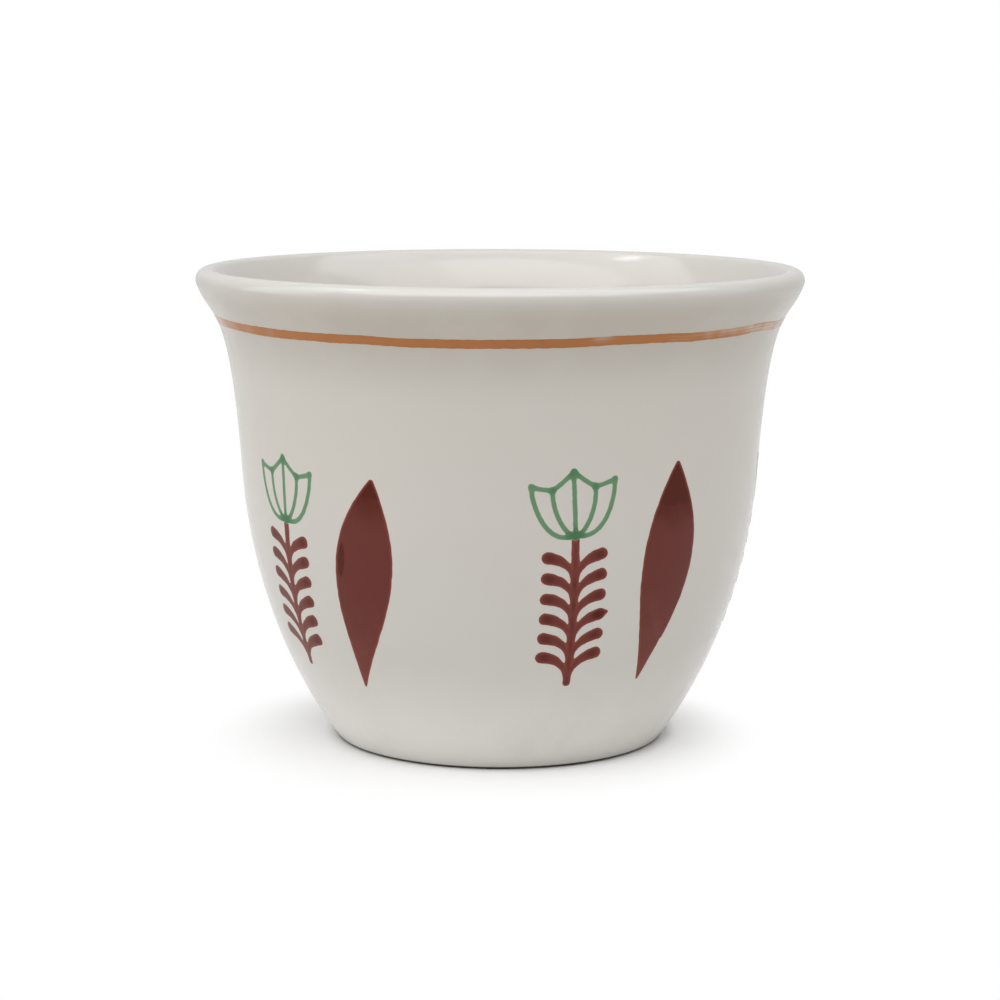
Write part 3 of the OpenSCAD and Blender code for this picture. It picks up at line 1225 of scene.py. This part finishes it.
@dataclass
class PaintedMotif:
    """A painted figure that is cut flat and then laid on the wall.

    Sizes are in millimetres. The turn is in degrees to the right of the front and the lean in
    degrees to the left. Margin, snap and merge are shares of the flat sheet's pitch. The marks
    are the edge's unevenness.
    """

    section: Section
    number: int
    turn: float
    height: float
    lean: float = 0.0
    pitch: float = 0.11
    margin: float = 2.5
    snap: float = 0.22
    merge: float = 0.08
    lift: float = 0.016
    under: float = 0.03
    shoulder: float = 0.16
    crease: float = 60.0

    name = "motif"
    paint = PaintKind.BROWN
    marks = ()

    def distance(self, places: Array) -> Array:
        """Distance from the figure's edge, below zero inside it."""
        raise NotImplementedError

    def load_at(self, places: Array) -> Array:
        """How much paint lies at flat places."""
        raise NotImplementedError

    def extent(self) -> tuple[Array, Array]:
        """Lowest and highest corners of the figure's flat sheet."""
        raise NotImplementedError

    def upright(self, places: Array) -> Array:
        """Flat places turned back by the lean, to where the figure stands upright."""
        sine, cosine = math.sin(math.radians(self.lean)), math.cos(math.radians(self.lean))
        return places @ np.array([[cosine, -sine], [sine, cosine]])

    def press(self, spots: Array) -> Array:
        """How far a hand's uneven pressure moves the edge at upright places."""
        return unevenness(spots, self.marks, self.number)

    def flat_sheet(self) -> Mesh:
        """Cuts a fine flat sheet along the figure's edge.

        Returns:
            The sheet in millimetres, whose outer points lie on the edge.
        """
        low, high = self.extent()
        cells = np.ceil((high - low) / self.pitch).astype(int)
        mesh = bmesh.new()
        bmesh.ops.create_grid(mesh, x_segments=int(cells[0]), y_segments=int(cells[1]), size=0.5)
        bmesh.ops.scale(mesh, vec=(*(high - low), 1.0), verts=mesh.verts[:])
        bmesh.ops.translate(mesh, vec=(*((low + high) / 2), 0.0), verts=mesh.verts[:])
        far = self.distance(places_of(mesh)[:, :2]) > self.margin * self.pitch
        drop(mesh, mesh.verts[:], far, "VERTS")
        places = places_of(mesh)
        near = self.snapped(places)
        move_to(mesh, places)
        gaps = {vert: float(gap) for vert, gap in zip(mesh.verts[:], near)}
        for edge in mesh.edges[:]:
            first, second = edge.verts
            if gaps[first] * gaps[second] < 0.0:
                share = gaps[first] / (gaps[first] - gaps[second])
                gaps[bmesh.utils.edge_split(edge, first, share)[1]] = 0.0
        bmesh.ops.connect_verts(mesh, verts=[v for v in mesh.verts if gaps[v] == 0.0])
        drop(mesh, mesh.verts[:], [gaps[v] > 0.0 for v in mesh.verts], "VERTS")
        middles = np.array([face.calc_center_median()[:2] for face in mesh.faces], float)
        drop(mesh, mesh.faces[:], self.distance(middles) > 0.0, "FACES")
        bmesh.ops.remove_doubles(mesh, verts=mesh.verts[:], dist=self.pitch * self.merge)
        bmesh.ops.triangulate(mesh, faces=[face for face in mesh.faces if len(face.verts) > 4])
        return mesh

    def snapped(self, places: Array) -> Array:
        """Moves the points that almost lie on the edge onto it.

        Args:
            places: Flat places in millimetres, which are changed.

        Returns:
            Distance of each point from the edge, zero for those that were moved.
        """
        gaps = self.distance(places[:, :2])
        close = np.abs(gaps) < self.snap * self.pitch
        spots, steps = places[close, :2], np.array([[NUDGE, 0.0], [0.0, NUDGE]])
        slopes = np.stack([
            self.distance(spots + step) - self.distance(spots - step)
            for step in steps], axis=-1) / (2 * NUDGE)
        size = np.clip((slopes ** 2).sum(-1, keepdims=True), 0.25, None)
        places[close, :2] = spots - gaps[close, None] * slopes / size
        gaps[close] = 0.0
        return gaps

    def build(self, material: Material) -> Piece:
        """Cuts the figure, gives it its low relief and lays it on the wall.

        Args:
            material: The figure's paint.

        Returns:
            The piece.
        """
        mesh = self.flat_sheet()
        bmesh.ops.solidify(mesh, geom=mesh.faces[:], thickness=self.under)
        places = places_of(mesh)
        flat = places[:, :2].copy()
        depth = np.clip(-self.distance(flat), 0.0, None)
        top = np.abs(places[:, 2]) < self.under / 2
        lift = paint_lift(depth, top, self.lift, self.under, self.shoulder)
        move_to(mesh, self.section.on_wall(flat[:, 0], self.height + flat[:, 1], lift))
        bmesh.ops.rotate(
            mesh, cent=(0.0, 0.0, 0.0), matrix=Matrix.Rotation(math.radians(self.turn), 3, "Z"),
            verts=mesh.verts[:])
        bmesh.ops.recalc_face_normals(mesh, faces=mesh.faces[:])
        brush = np.column_stack([flat, np.zeros(len(flat))])
        store(mesh, depth=depth, load=self.load_at(flat), brush=brush)
        node = f"{self.name}_{self.number}"
        return hand_over(mesh, f"{node}_paint", (node,), material, self.crease)


def drop(mesh: Mesh, parts: list, unwanted: Array, context: str) -> None:
    """Deletes parts of a mesh.

    Args:
        mesh: The mesh.
        parts: Its points or faces.
        unwanted: Whether each of them goes.
        context: The operator's word for what goes.
    """
    gone = [part for part, out in zip(parts, unwanted) if out]
    bmesh.ops.delete(mesh, geom=gone, context=context)


@dataclass
class Tulip(PaintedMotif):
    """The green tulip: two outer petals, two inner ones and a middle line.

    Its points are shares of its half width and of its rise. A pool is where paint gathers: its
    point, its radius in millimetres and how much more paint lies there.
    """

    width: float = 9.0
    rise: float = 7.0
    line: float = 0.52
    flow: float = 0.34
    side_tip: tuple = (1.0, 0.83)
    valley: tuple = (0.51, 0.75)
    middle_tip: tuple = (0.0, 1.0)
    outer_petal: tuple = ((1.0, 0.58), (0.76, -0.06), (0.05, 0.03))
    inner_petal: tuple = ((0.56, 0.45), (0.24, 0.04), (0.03, 0.05))
    top_sag: float = 0.015
    room: float = 0.8
    even_load: float = 0.57
    cloud_load: float = 0.06
    cloud_pitch: float = 0.9
    pools: tuple = (
        ((0.0, 0.02), 1.7, 0.62), ((0.0, 1.0), 1.3, 0.42),
        ((0.51, 0.75), 0.8, 0.4), ((1.0, 0.83), 0.6, 0.2))

    name = "tulip"
    paint = PaintKind.GREEN
    marks = ((0.02, 1.3, 1.7), (0.008, 0.45, 1.0))

    def spot(self, share: tuple, side: int) -> Array:
        """A place on the tulip from shares of its half width and its rise."""
        return np.array([side * share[0] * self.width / 2, share[1] * self.rise])

    def stroke(self, *points: Array) -> Stroke:
        """A line of even width through four control points."""
        return Stroke(Curve(points), self.line, self.line)

    def strokes(self) -> list[Stroke]:
        """The nine strokes, in the order in which they are drawn.

        Returns:
            The strokes on an upright tulip.
        """
        found = [self.stroke(*(self.spot((0.0, 1.0 - i / 3), 1) for i in range(4)))]
        sag = np.array([0.0, -self.top_sag * self.rise])
        for side in (-1, 1):
            for top, bends in ((self.side_tip, self.outer_petal), (self.valley, self.inner_petal)):
                found.append(self.stroke(*(self.spot(share, side) for share in (top, *bends))))
            for start, end in ((self.side_tip, self.valley), (self.valley, self.middle_tip)):
                a, b = self.spot(start, side), self.spot(end, side)
                found.append(self.stroke(a, (2 * a + b) / 3 + sag, (a + 2 * b) / 3 + sag, b))
        return found

    def distance(self, places: Array) -> Array:
        """Distance from the tulip's edge, below zero inside it.

        Args:
            places: Flat places in millimetres, one row each.

        Returns:
            One distance for each place.
        """
        spots = self.upright(places)
        press = self.press(spots)
        return soft_union([stroke.distance(spots) + press for stroke in self.strokes()], self.flow)

    def load_at(self, places: Array) -> Array:
        """How much paint lies at flat places: more where strokes cross or end.

        Args:
            places: Flat places in millimetres, one row each.

        Returns:
            The load at each place.
        """
        spots = self.upright(places)
        load = np.full(len(places), self.even_load)
        for share, spread, more in self.pools:
            for side in (-1, 1):
                gap = np.linalg.norm(spots - self.spot(share, side), axis=1)
                load = np.maximum(load, self.even_load + more * smooth_step(1.15 - gap / spread))
        return load + self.cloud_load * hand_wobble(spots, self.cloud_pitch, self.number)

    def extent(self) -> tuple[Array, Array]:
        """Lowest and highest corners of the tulip's flat sheet."""
        side = 0.6 * self.width
        return np.array([-side, -self.room]), np.array([side, self.rise + self.room])


@dataclass
class Sprig(PaintedMotif):
    """The brown sprig: a bent stem with pairs of round-ended leaflets.

    The spur is the pair and the side of the one leaflet whose end runs out in a point.
    """

    tulip: Tulip | None = None
    sweep: float = 0.0
    droops: tuple = (0.1, 0.1)
    length: float = 16.6
    stem_width: float = 0.88
    stem_end: float = 0.9
    flow: float = 0.3
    pairs: int = 6
    step: float = 2.3
    drop: float = 5.0
    reach: float = 3.6
    rise: float = 3.3
    leaflet_width: float = 1.3
    leaflet_root: float = 0.35
    bends: tuple = ((0.1, 0.7), (0.52, 0.87))
    spur: tuple = ()
    spur_step: tuple = (0.27, 0.06)
    spur_root: float = 0.85
    spur_tip: float = 0.42
    even_load: float = 0.45
    end_load: float = 0.55
    joint_load: float = 0.4
    foot_loss: float = 0.1

    name = "sprig"
    marks = ((0.035, 2.1, 2.3), (0.012, 0.6, 1.0))

    def stem(self) -> Curve:
        """The stem from the joint down to its end.

        Returns:
            The curve.
        """
        sweep, end = self.sweep * self.length, self.stem_width * self.stem_end / 2
        return Curve((
            (0.0, -self.tulip.line / 2), (0.0, -self.length / 3),
            (-sweep / 4, -self.length * 2 / 3), (-sweep, -self.length + end)))

    def strokes(self) -> list[Stroke]:
        """The stem and then its leaflets, pair by pair.

        Returns:
            The strokes on an upright sprig.
        """
        stem = self.stem()
        found = [Stroke(stem, self.stem_width, self.stem_width * self.stem_end)]
        for pair in range(self.pairs):
            root = stem.at(np.array([min((self.drop + pair * self.step) / self.length, 1.0)]))[0]
            for side, droop in zip((-1, 1), self.droops):
                reach = side * (self.reach - self.leaflet_width / 2)
                ends = [(reach * a, self.rise * b) for a, b in self.bends]
                tip = root + np.array((reach, self.rise * (1 - droop)))
                curve = Curve((root, *(root + np.array(end) for end in ends), tip))
                found.append(Stroke(
                    curve, self.leaflet_width * self.leaflet_root, self.leaflet_width, 14))
                if self.spur == (pair, side):
                    ray = np.array([side * self.spur_step[0], self.spur_step[1]])
                    point = Curve(tuple(tip + ray * share for share in range(4)))
                    found.append(Stroke(
                        point, self.leaflet_width * self.spur_root, self.spur_tip, 8))
        return found

    def distance(self, places: Array) -> Array:
        """Distance from the sprig's edge, which ends against the tulip's line.

        Args:
            places: Flat places in millimetres, one row each.

        Returns:
            One distance for each place, below zero inside the sprig.
        """
        spots = self.upright(places)
        press = self.press(spots)
        gaps = [stroke.distance(spots) + press for stroke in self.strokes()]
        return np.maximum(soft_union(gaps, self.flow), -self.tulip.distance(places))

    def load_at(self, places: Array) -> Array:
        """How much paint lies at flat places: more down the stem and in the round ends.

        Args:
            places: Flat places in millimetres, one row each.

        Returns:
            The load at each place.
        """
        spots = self.upright(places)
        width, ends, joints = self.leaflet_width, np.zeros(len(places)), np.zeros(len(places))
        for stroke in self.strokes()[1:]:
            tip, root = stroke.curve.at(np.array([0.93, 0.0]))
            ends = np.maximum(ends, 1 - np.linalg.norm(spots - tip, axis=1) / (0.95 * width))
            joints = np.maximum(joints, 1 - np.linalg.norm(spots - root, axis=1) / (0.8 * width))
        foot = smooth_step((-spots[:, 1] / self.length - 0.75) / 0.25)
        pooled = self.end_load * smooth_step(ends) + self.joint_load * smooth_step(joints)
        return self.even_load + pooled - self.foot_loss * foot

    def extent(self) -> tuple[Array, Array]:
        """Reach of the sprig's flat sheet.

        Returns:
            Its lowest and its highest corner.
        """
        lean = abs(math.sin(math.radians(self.lean)))
        side = self.reach + 0.6 + (abs(self.sweep) + lean) * self.length
        return np.array([-side, -self.length - 0.4]), np.array([side, 0.8])


@dataclass
class Leaf(PaintedMotif):
    """The plain brown lancet leaf.

    Fullness is the lower half's share of the width, full is that of both halves together, and
    blunt is how wide either end is cut. A blot is a pool of paint: its place across and along
    the leaf, and half its width and length. The nick is how far the right edge steps in under
    the nick height. Loads are amounts of paint: a coat all over, more from the top start up,
    and more again from the second start above that. A start is a share of the length.
    """

    sweep: float = 0.0
    bow: float = 0.0
    fullness: float = 1.0
    length: float = 24.2
    width: float = 6.8
    bends: tuple = (0.39, 0.65)
    full: float = 2.6
    blunt: float = 0.16
    top_start: float = 0.12
    blot: tuple = ()
    nick: float = 0.0
    nick_height: float = -7.36
    nick_slope: float = 0.15
    nick_length: float = 6.0
    end_start: float = 0.38
    end_length: float = 0.1
    end_fullness: float = 0.04
    even_load: float = 0.62
    top_load: float = 0.5
    second_start: float = 0.18
    second_load: float = 0.22
    foot_loss: float = 0.3
    blot_load: float = 0.5

    name = "leaf"
    clouds = ((0.05, 7.0, 0.9), (0.03, 2.2, 1.0))
    marks = ((0.03, 2.6, 1.9), (0.012, 0.7, 1.0))

    def edge(self, side: int) -> Array:
        """One edge of the upright leaf, from its top.

        Args:
            side: -1 for the left edge and 1 for the right one.

        Returns:
            Points along it, one row each.
        """
        upper = side * (self.full - self.fullness) * self.width / 2
        lower = side * self.fullness * self.width / 2
        sweep, bow = self.sweep * self.length, self.bow * self.length
        return Curve((
            (side * self.blunt, self.length / 2),
            (upper + bow, self.length * (0.5 - self.bends[0])),
            (lower + bow - sweep / 3, self.length * (0.5 - self.bends[1])),
            (side * self.blunt / 2 - sweep, -self.length / 2),
        )).at(np.linspace(0.0, 1.0, 70))

    def distance(self, places: Array) -> Array:
        """Distance from the leaf's edge, below zero inside it.

        Args:
            places: Flat places in millimetres, one row each.

        Returns:
            One distance for each place.
        """
        spots = self.upright(places)
        left, right = self.edge(-1), self.edge(1)
        line = np.concatenate([left, right[::-1], left[:1]])
        gap = line_gaps(spots, line)[0].min(axis=1)
        x, y = spots.T
        low, high = (np.interp(y, edge[::-1, 1], edge[::-1, 0]) for edge in (left, right))
        inside = (x > low) & (x < high) & (np.abs(y) < self.length / 2)
        ends = smooth_step((np.abs(y) / self.length - self.end_start) / self.end_length)
        below = self.nick_height - y
        nick = self.nick * (x > (low + high) / 2) * smooth_step(below / self.nick_slope)
        edge = np.where(inside, -gap, gap) + self.press(spots) * (1 - ends)
        return edge - self.end_fullness * ends + nick * smooth_step(1 - below / self.nick_length)

    def load_at(self, places: Array) -> Array:
        """How much paint lies at flat places: most in the upper third, least at the foot.

        Args:
            places: Flat places in millimetres, one row each.

        Returns:
            The load at each place.
        """
        spots = self.upright(places)
        x, y = spots.T
        bowed = y - 0.12 * x ** 2 + 0.3 * hand_wobble(spots, 3.1, self.number)
        high = bowed / self.length - self.top_start
        foot = smooth_step((0.1 - y / self.length) / 0.6)
        patches = unevenness(spots, self.clouds, self.number)
        second = self.second_load * smooth_step((high - self.second_start) / 0.02)
        heavy = self.top_load * smooth_step(high / 0.2) + second
        load = self.even_load + heavy - self.foot_loss * foot + patches
        if self.blot:
            across, along, half_width, half_length = self.blot
            reach = np.hypot((x - across) / half_width, (y - along) / half_length)
            load = load + self.blot_load * smooth_step((1.1 - reach) / 0.2)
        return load

    def extent(self) -> tuple[Array, Array]:
        """Reach of the leaf's flat sheet.

        Returns:
            Its lowest and its highest corner.
        """
        half = self.length / 2
        side = 0.62 * self.width + half * abs(math.sin(math.radians(self.lean)))
        return np.array([-side, -half - 0.6]), np.array([side, half + 0.6])


@dataclass
class Repeats:
    """The five painted repeats, each a little off its even place as a hand leaves it.

    Turns are in degrees to the right of the front, leans in degrees to the left and heights in
    millimetres. Each tuple holds one value for each repeat.
    """

    section: Section
    first_turn: float = 15.9
    joint_height: float = 26.9
    drifts: tuple = (0.0, 1.0, 1.5, 1.0, 3.5)
    tulip_leans: tuple = (3.5, 2.0, 0.0, -3.0, -2.3)
    sprig_leans: tuple = (2.2, -1.5, 3.0, -3.0, -7.1)
    stem_sweeps: tuple = (0.014, 0.02, -0.02, 0.03, 0.002)
    stem_ends: tuple = (0.9, 0.8, 0.85, 0.7, 0.5)
    droops: tuple = ((0.05, 0.04), (0.02, 0.08), (0.06, 0.02), (0.04, 0.0), (0.06, -0.06))
    spurs: tuple = ((3, 1), (), (1, -1), (), ())
    leaf_turn: float = 22.5
    leaf_height: float = 22.0
    leaf_drifts: tuple = (0.45, 0.0, 0.5, -0.5, -1.25)
    leaf_leans: tuple = (-1.8, -6.0, -4.0, -7.0, -10.4)
    leaf_rises: tuple = (0.01, -0.01, 0.02, 0.0, -0.044)
    leaf_sweeps: tuple = (0.012, 0.01, 0.02, 0.0, 0.005)
    leaf_bows: tuple = (0.014, 0.0, -0.01, 0.01, 0.0)
    leaf_fullness: tuple = (0.8, 0.78, 0.75, 0.82, 0.72)
    leaf_lengths: tuple = (24.0, 24.2, 24.0, 24.1, 23.75)
    leaf_tops: tuple = (0.12, 0.2, 0.15, 0.2, 0.23)
    leaf_blots: tuple = ((), (), (), (), (-2.8, 2.3, 0.42, 1.9))
    leaf_nicks: tuple = (0.13, 0.0, 0.0, 0.08, 0.0)

    def build(self, green: Material, brown: Material) -> list[Piece]:
        """Paints every repeat.

        Args:
            green: The tulips' paint.
            brown: The sprigs' and leaves' paint.

        Returns:
            The pieces, repeat by repeat.
        """
        pieces = []
        for i, drift in enumerate(self.drifts):
            turn = self.first_turn + 360.0 * i / len(self.drifts) + drift
            joint = (self.section, i + 1, turn, self.joint_height)
            tulip = Tulip(*joint, lean=self.tulip_leans[i])
            sprig = Sprig(*joint, tulip=tulip, lean=self.sprig_leans[i], sweep=self.stem_sweeps[i],
                          droops=self.droops[i], stem_end=self.stem_ends[i], spur=self.spurs[i])
            height = self.leaf_height + self.leaf_lengths[i] * self.leaf_rises[i]
            leaf = Leaf(self.section, i + 1, turn + self.leaf_turn + self.leaf_drifts[i], height,
                        lean=self.leaf_leans[i], sweep=self.leaf_sweeps[i], bow=self.leaf_bows[i],
                        fullness=self.leaf_fullness[i], length=self.leaf_lengths[i],
                        top_start=self.leaf_tops[i], blot=self.leaf_blots[i],
                        nick=self.leaf_nicks[i])
            pieces += [tulip.build(green), sprig.build(brown), leaf.build(brown)]
        return pieces


@dataclass(frozen=True)
class Softbox:
    """A soft white lamp, with its place, size and aim in metres."""

    name: str
    place: tuple[float, float, float]
    size: tuple[float, float]
    watts: float
    aim: tuple[float, float, float] = (0.0, 0.0, 0.03)

    def build(self) -> Piece:
        """Hangs the lamp and turns it to its aim.

        Returns:
            The lamp.
        """
        data = bpy.data.lights.new(self.name, "AREA")
        data.shape = "RECTANGLE"
        data.size, data.size_y = self.size
        data.energy = self.watts
        lamp = bpy.data.objects.new(self.name, data)
        lamp.location = self.place
        way = Vector(self.aim) - Vector(self.place)
        lamp.rotation_euler = way.to_track_quat("-Z", "Y").to_euler()
        lamp.visible_camera = False
        bpy.context.scene.collection.objects.link(lamp)
        return lamp


@dataclass(frozen=True)
class Studio:
    """Pale floor, white surround, a tent of soft lamps, one small window lamp and the camera.

    Lengths are in metres, except the camera's lens and sensor in millimetres, and angles are in
    degrees. Watts go to the lamps from left to right. A band is the range of distances from the
    cup's axis over which the floor changes, or of its grain.
    """

    tent_rows: tuple = (("front", -0.55, (3.1, 3.3, 2.4)), ("top", 0.0, (1.9, 1.4, 2.0)))
    tent_columns: tuple = (("left_", -0.6), ("", 0.0), ("right_", 0.6))
    tent_size: tuple[float, float] = (0.6, 0.55)
    tent_height: float = 0.8
    side_watts: tuple[float, float] = (2.0, 0.65)
    side_size: tuple[float, float] = (0.6, 0.76)
    side_place: float = 0.9
    side_height: float = 0.42
    window: Softbox = Softbox("window", (-0.41, 0.02, 0.73), (0.14, 0.065), 0.17)
    floor_size: float = 3.0
    floor_colour: Colour = (0.92, 0.92, 0.915)
    floor_roughness: float = 0.9
    floor_specular: float = 0.1
    grain_scale: float = 30.0
    grain_band: tuple[float, float] = (0.3, 0.7)
    grain_share: float = 0.985
    mirrored_floor: tuple[float, float] = (0.9, 0.68)
    mirrored_band: tuple[float, float] = (0.1, 0.5)
    mirrored_surround: float = 0.68
    contact_band: tuple[float, float] = (0.0189, 0.0205)
    contact_share: float = 0.25
    shadow_band: tuple[float, float] = (0.0185, 0.032)
    shadow_share: float = 0.75
    shadow_sway: tuple[float, float, float] = (0.06, 0.06, 0.0)
    camera_distance: float = 0.29196
    camera_height: float = 0.07225
    camera_pitch: float = 8.897
    camera_roll: float = 0.143
    lens: float = 93.77
    sensor: float = 36.0
    shift: float = 0.0004

    def build(self) -> None:
        """Sets up the floor, the surround, the lamps and the camera."""
        self.floor()
        self.world()
        for lamp in self.lamps():
            lamp.build()
        self.camera()
        bpy.context.scene.view_settings.view_transform = "Standard"
        log.info("the studio is set up")

    def lamps(self) -> list[Softbox]:
        """The tent's panels, which hang level or upright, and the window.

        Returns:
            The lamps.
        """
        found = []
        for row, y, powers in self.tent_rows:
            for (side, x), watts in zip(self.tent_columns, powers):
                found.append(Softbox(f"{row}_{side}panel", (x, y, self.tent_height),
                                     self.tent_size, watts, aim=(x, y, 0.0)))
        for name, side, watts in zip(("left_panel", "right_panel"), (-1, 1), self.side_watts):
            found.append(Softbox(name, (side * self.side_place, 0.0, self.side_height),
                                 self.side_size, watts, aim=(0.0, 0.0, self.side_height)))
        return found + [self.window]

    def floor(self) -> Piece:
        """Lays the floor, which the camera sees as white away from the cup's shadow.

        Returns:
            The floor.
        """
        mesh = bmesh.new()
        bmesh.ops.create_grid(mesh, x_segments=8, y_segments=8, size=self.floor_size)
        data = bpy.data.meshes.new("floor")
        mesh.to_mesh(data)
        mesh.free()
        floor = bpy.data.objects.new("floor", data)
        bpy.context.scene.collection.objects.link(floor)
        data.materials.append(self.floor_material())
        return floor

    def floor_material(self) -> Material:
        """A pale matt floor that turns white away from the cup and is clear from below.

        Returns:
            The material.
        """
        material, sheet, shader = new_material("pale_floor")
        place = sheet.place()
        grain = sheet.ramp(sheet.noise(place, self.grain_scale, 2.0), *self.grain_band)
        darker = tuple(self.grain_share * part for part in self.floor_colour)
        sheet.fill_in(
            shader, Base_Color=sheet.blend(grain, self.floor_colour, darker),
            Roughness=self.floor_roughness, Specular_IOR_Level=self.floor_specular)
        rays = sheet.add("ShaderNodeLightPath")
        seen, mirrored = rays.outputs["Is Camera Ray"], sheet.mirrored(rays)
        length = sheet.add("ShaderNodeVectorMath", operation="LENGTH")
        sheet.feed(length.inputs[0], place)
        away = length.outputs["Value"]
        sway = sheet.add("ShaderNodeVectorMath", operation="DOT_PRODUCT")
        for socket, value in zip(sway.inputs, (place, self.shadow_sway)):
            sheet.feed(socket, value)
        reach = sheet.math("ADD", away, sway.outputs["Value"])
        glow = sheet.math(
            "MULTIPLY", mirrored, sheet.ramp(away, *self.mirrored_band, *self.mirrored_floor))
        white = sheet.add("ShaderNodeEmission")
        sheet.feed(white.inputs["Strength"], sheet.math("MAXIMUM", seen, glow))
        far = sheet.math(
            "ADD", sheet.ramp(away, *self.contact_band, 0.0, self.contact_share),
            sheet.ramp(reach, *self.shadow_band, 0.0, self.shadow_share))
        share = sheet.math("MULTIPLY", sheet.math("MAXIMUM", seen, mirrored), far)
        front = self.mixed(sheet, share, shader.outputs["BSDF"], white.outputs["Emission"])
        clear = sheet.add("ShaderNodeBsdfTransparent").outputs["BSDF"]
        back = sheet.add("ShaderNodeNewGeometry").outputs["Backfacing"]
        sheet.fill_in(
            material.node_tree.nodes["Material Output"],
            Surface=self.mixed(sheet, back, front, clear))
        return material

    def mixed(self, sheet: NodeSheet, share: Socket, first: Socket, second: Socket) -> Socket:
        """A shader between two others.

        Args:
            sheet: The material's sheet.
            share: 0 for the first shader and 1 for the second.
            first: The first shader.
            second: The second shader.

        Returns:
            The mixed shader.
        """
        mix = sheet.add("ShaderNodeMixShader")
        for socket, value in zip(mix.inputs, (share, first, second)):
            sheet.feed(socket, value)
        return mix.outputs["Shader"]

    def world(self) -> None:
        """Makes the surround white to the camera and pale in the cup's reflections."""
        world = bpy.data.worlds.new("studio")
        bpy.context.scene.world = world
        world.use_nodes = True
        sheet = NodeSheet(world.node_tree)
        rays = sheet.add("ShaderNodeLightPath")
        pale = sheet.math("MULTIPLY", sheet.mirrored(rays), self.mirrored_surround)
        sheet.fill_in(
            world.node_tree.nodes["Background"], Color=(1.0, 1.0, 1.0, 1.0),
            Strength=sheet.math("MAXIMUM", pale, rays.outputs["Is Camera Ray"]))

    def camera(self) -> Piece:
        """Sets the camera at the photograph's viewing angle.

        Returns:
            The camera.
        """
        data = bpy.data.cameras.new("camera")
        data.lens = self.lens
        data.sensor_width = self.sensor
        data.shift_x = self.shift
        data.clip_start = 0.01
        camera = bpy.data.objects.new("camera", data)
        camera.location = (0.0, -self.camera_distance, self.camera_height)
        tilt = Matrix.Rotation(math.radians(90.0 - self.camera_pitch), 3, "X")
        roll = Matrix.Rotation(math.radians(self.camera_roll), 3, "Z")
        camera.rotation_euler = (tilt @ roll).to_euler()
        bpy.context.scene.collection.objects.link(camera)
        bpy.context.scene.camera = camera
        return camera


GREEN = PaintFinish(
    PaintKind.GREEN, thin_paint_and_upper_shade_colour=(0.30, 0.42, 0.28), full_colour=(0.145, 0.285, 0.15),
    heavy_colour=(0.062, 0.185, 0.082), rim_colour=(0.33, 0.42, 0.31), rim_width=0.11,
    rim_strength=0.55, streak_strength=0.3)
BROWN = PaintFinish(
    PaintKind.BROWN, thin_paint_and_upper_shade_colour=(0.25, 0.068, 0.05), full_colour=(0.155, 0.036, 0.028),
    heavy_colour=(0.095, 0.013, 0.006), rim_colour=(0.28, 0.066, 0.042), rim_width=0.36,
    rim_strength=0.75, streak_strength=0.22)
ORANGE = PaintFinish(
    PaintKind.ORANGE, thin_paint_and_upper_shade_colour=(0.66, 0.56, 0.46), full_colour=(0.46, 0.185, 0.065),
    heavy_colour=(0.38, 0.135, 0.04), rim_colour=(0.40, 0.16, 0.055), rim_width=0.1,
    rim_strength=0.35, streak_strength=0.22)


def main() -> None:
    """Builds the cup's pieces and the studio."""
    logging.basicConfig(level=logging.INFO, format="%(name)s: %(message)s")
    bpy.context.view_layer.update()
    section = Section()
    glaze = GlazeFinish().material()
    ClayBody(section).build(ClayFinish().material())
    GlazeCoat(section).build(glaze)
    FootGlaze(section).build(glaze)
    RimLine(section).build(ORANGE.material())
    Repeats(section).build(GREEN.material(), BROWN.material())
    Studio().build()


if __name__ == "__main__":
    main()
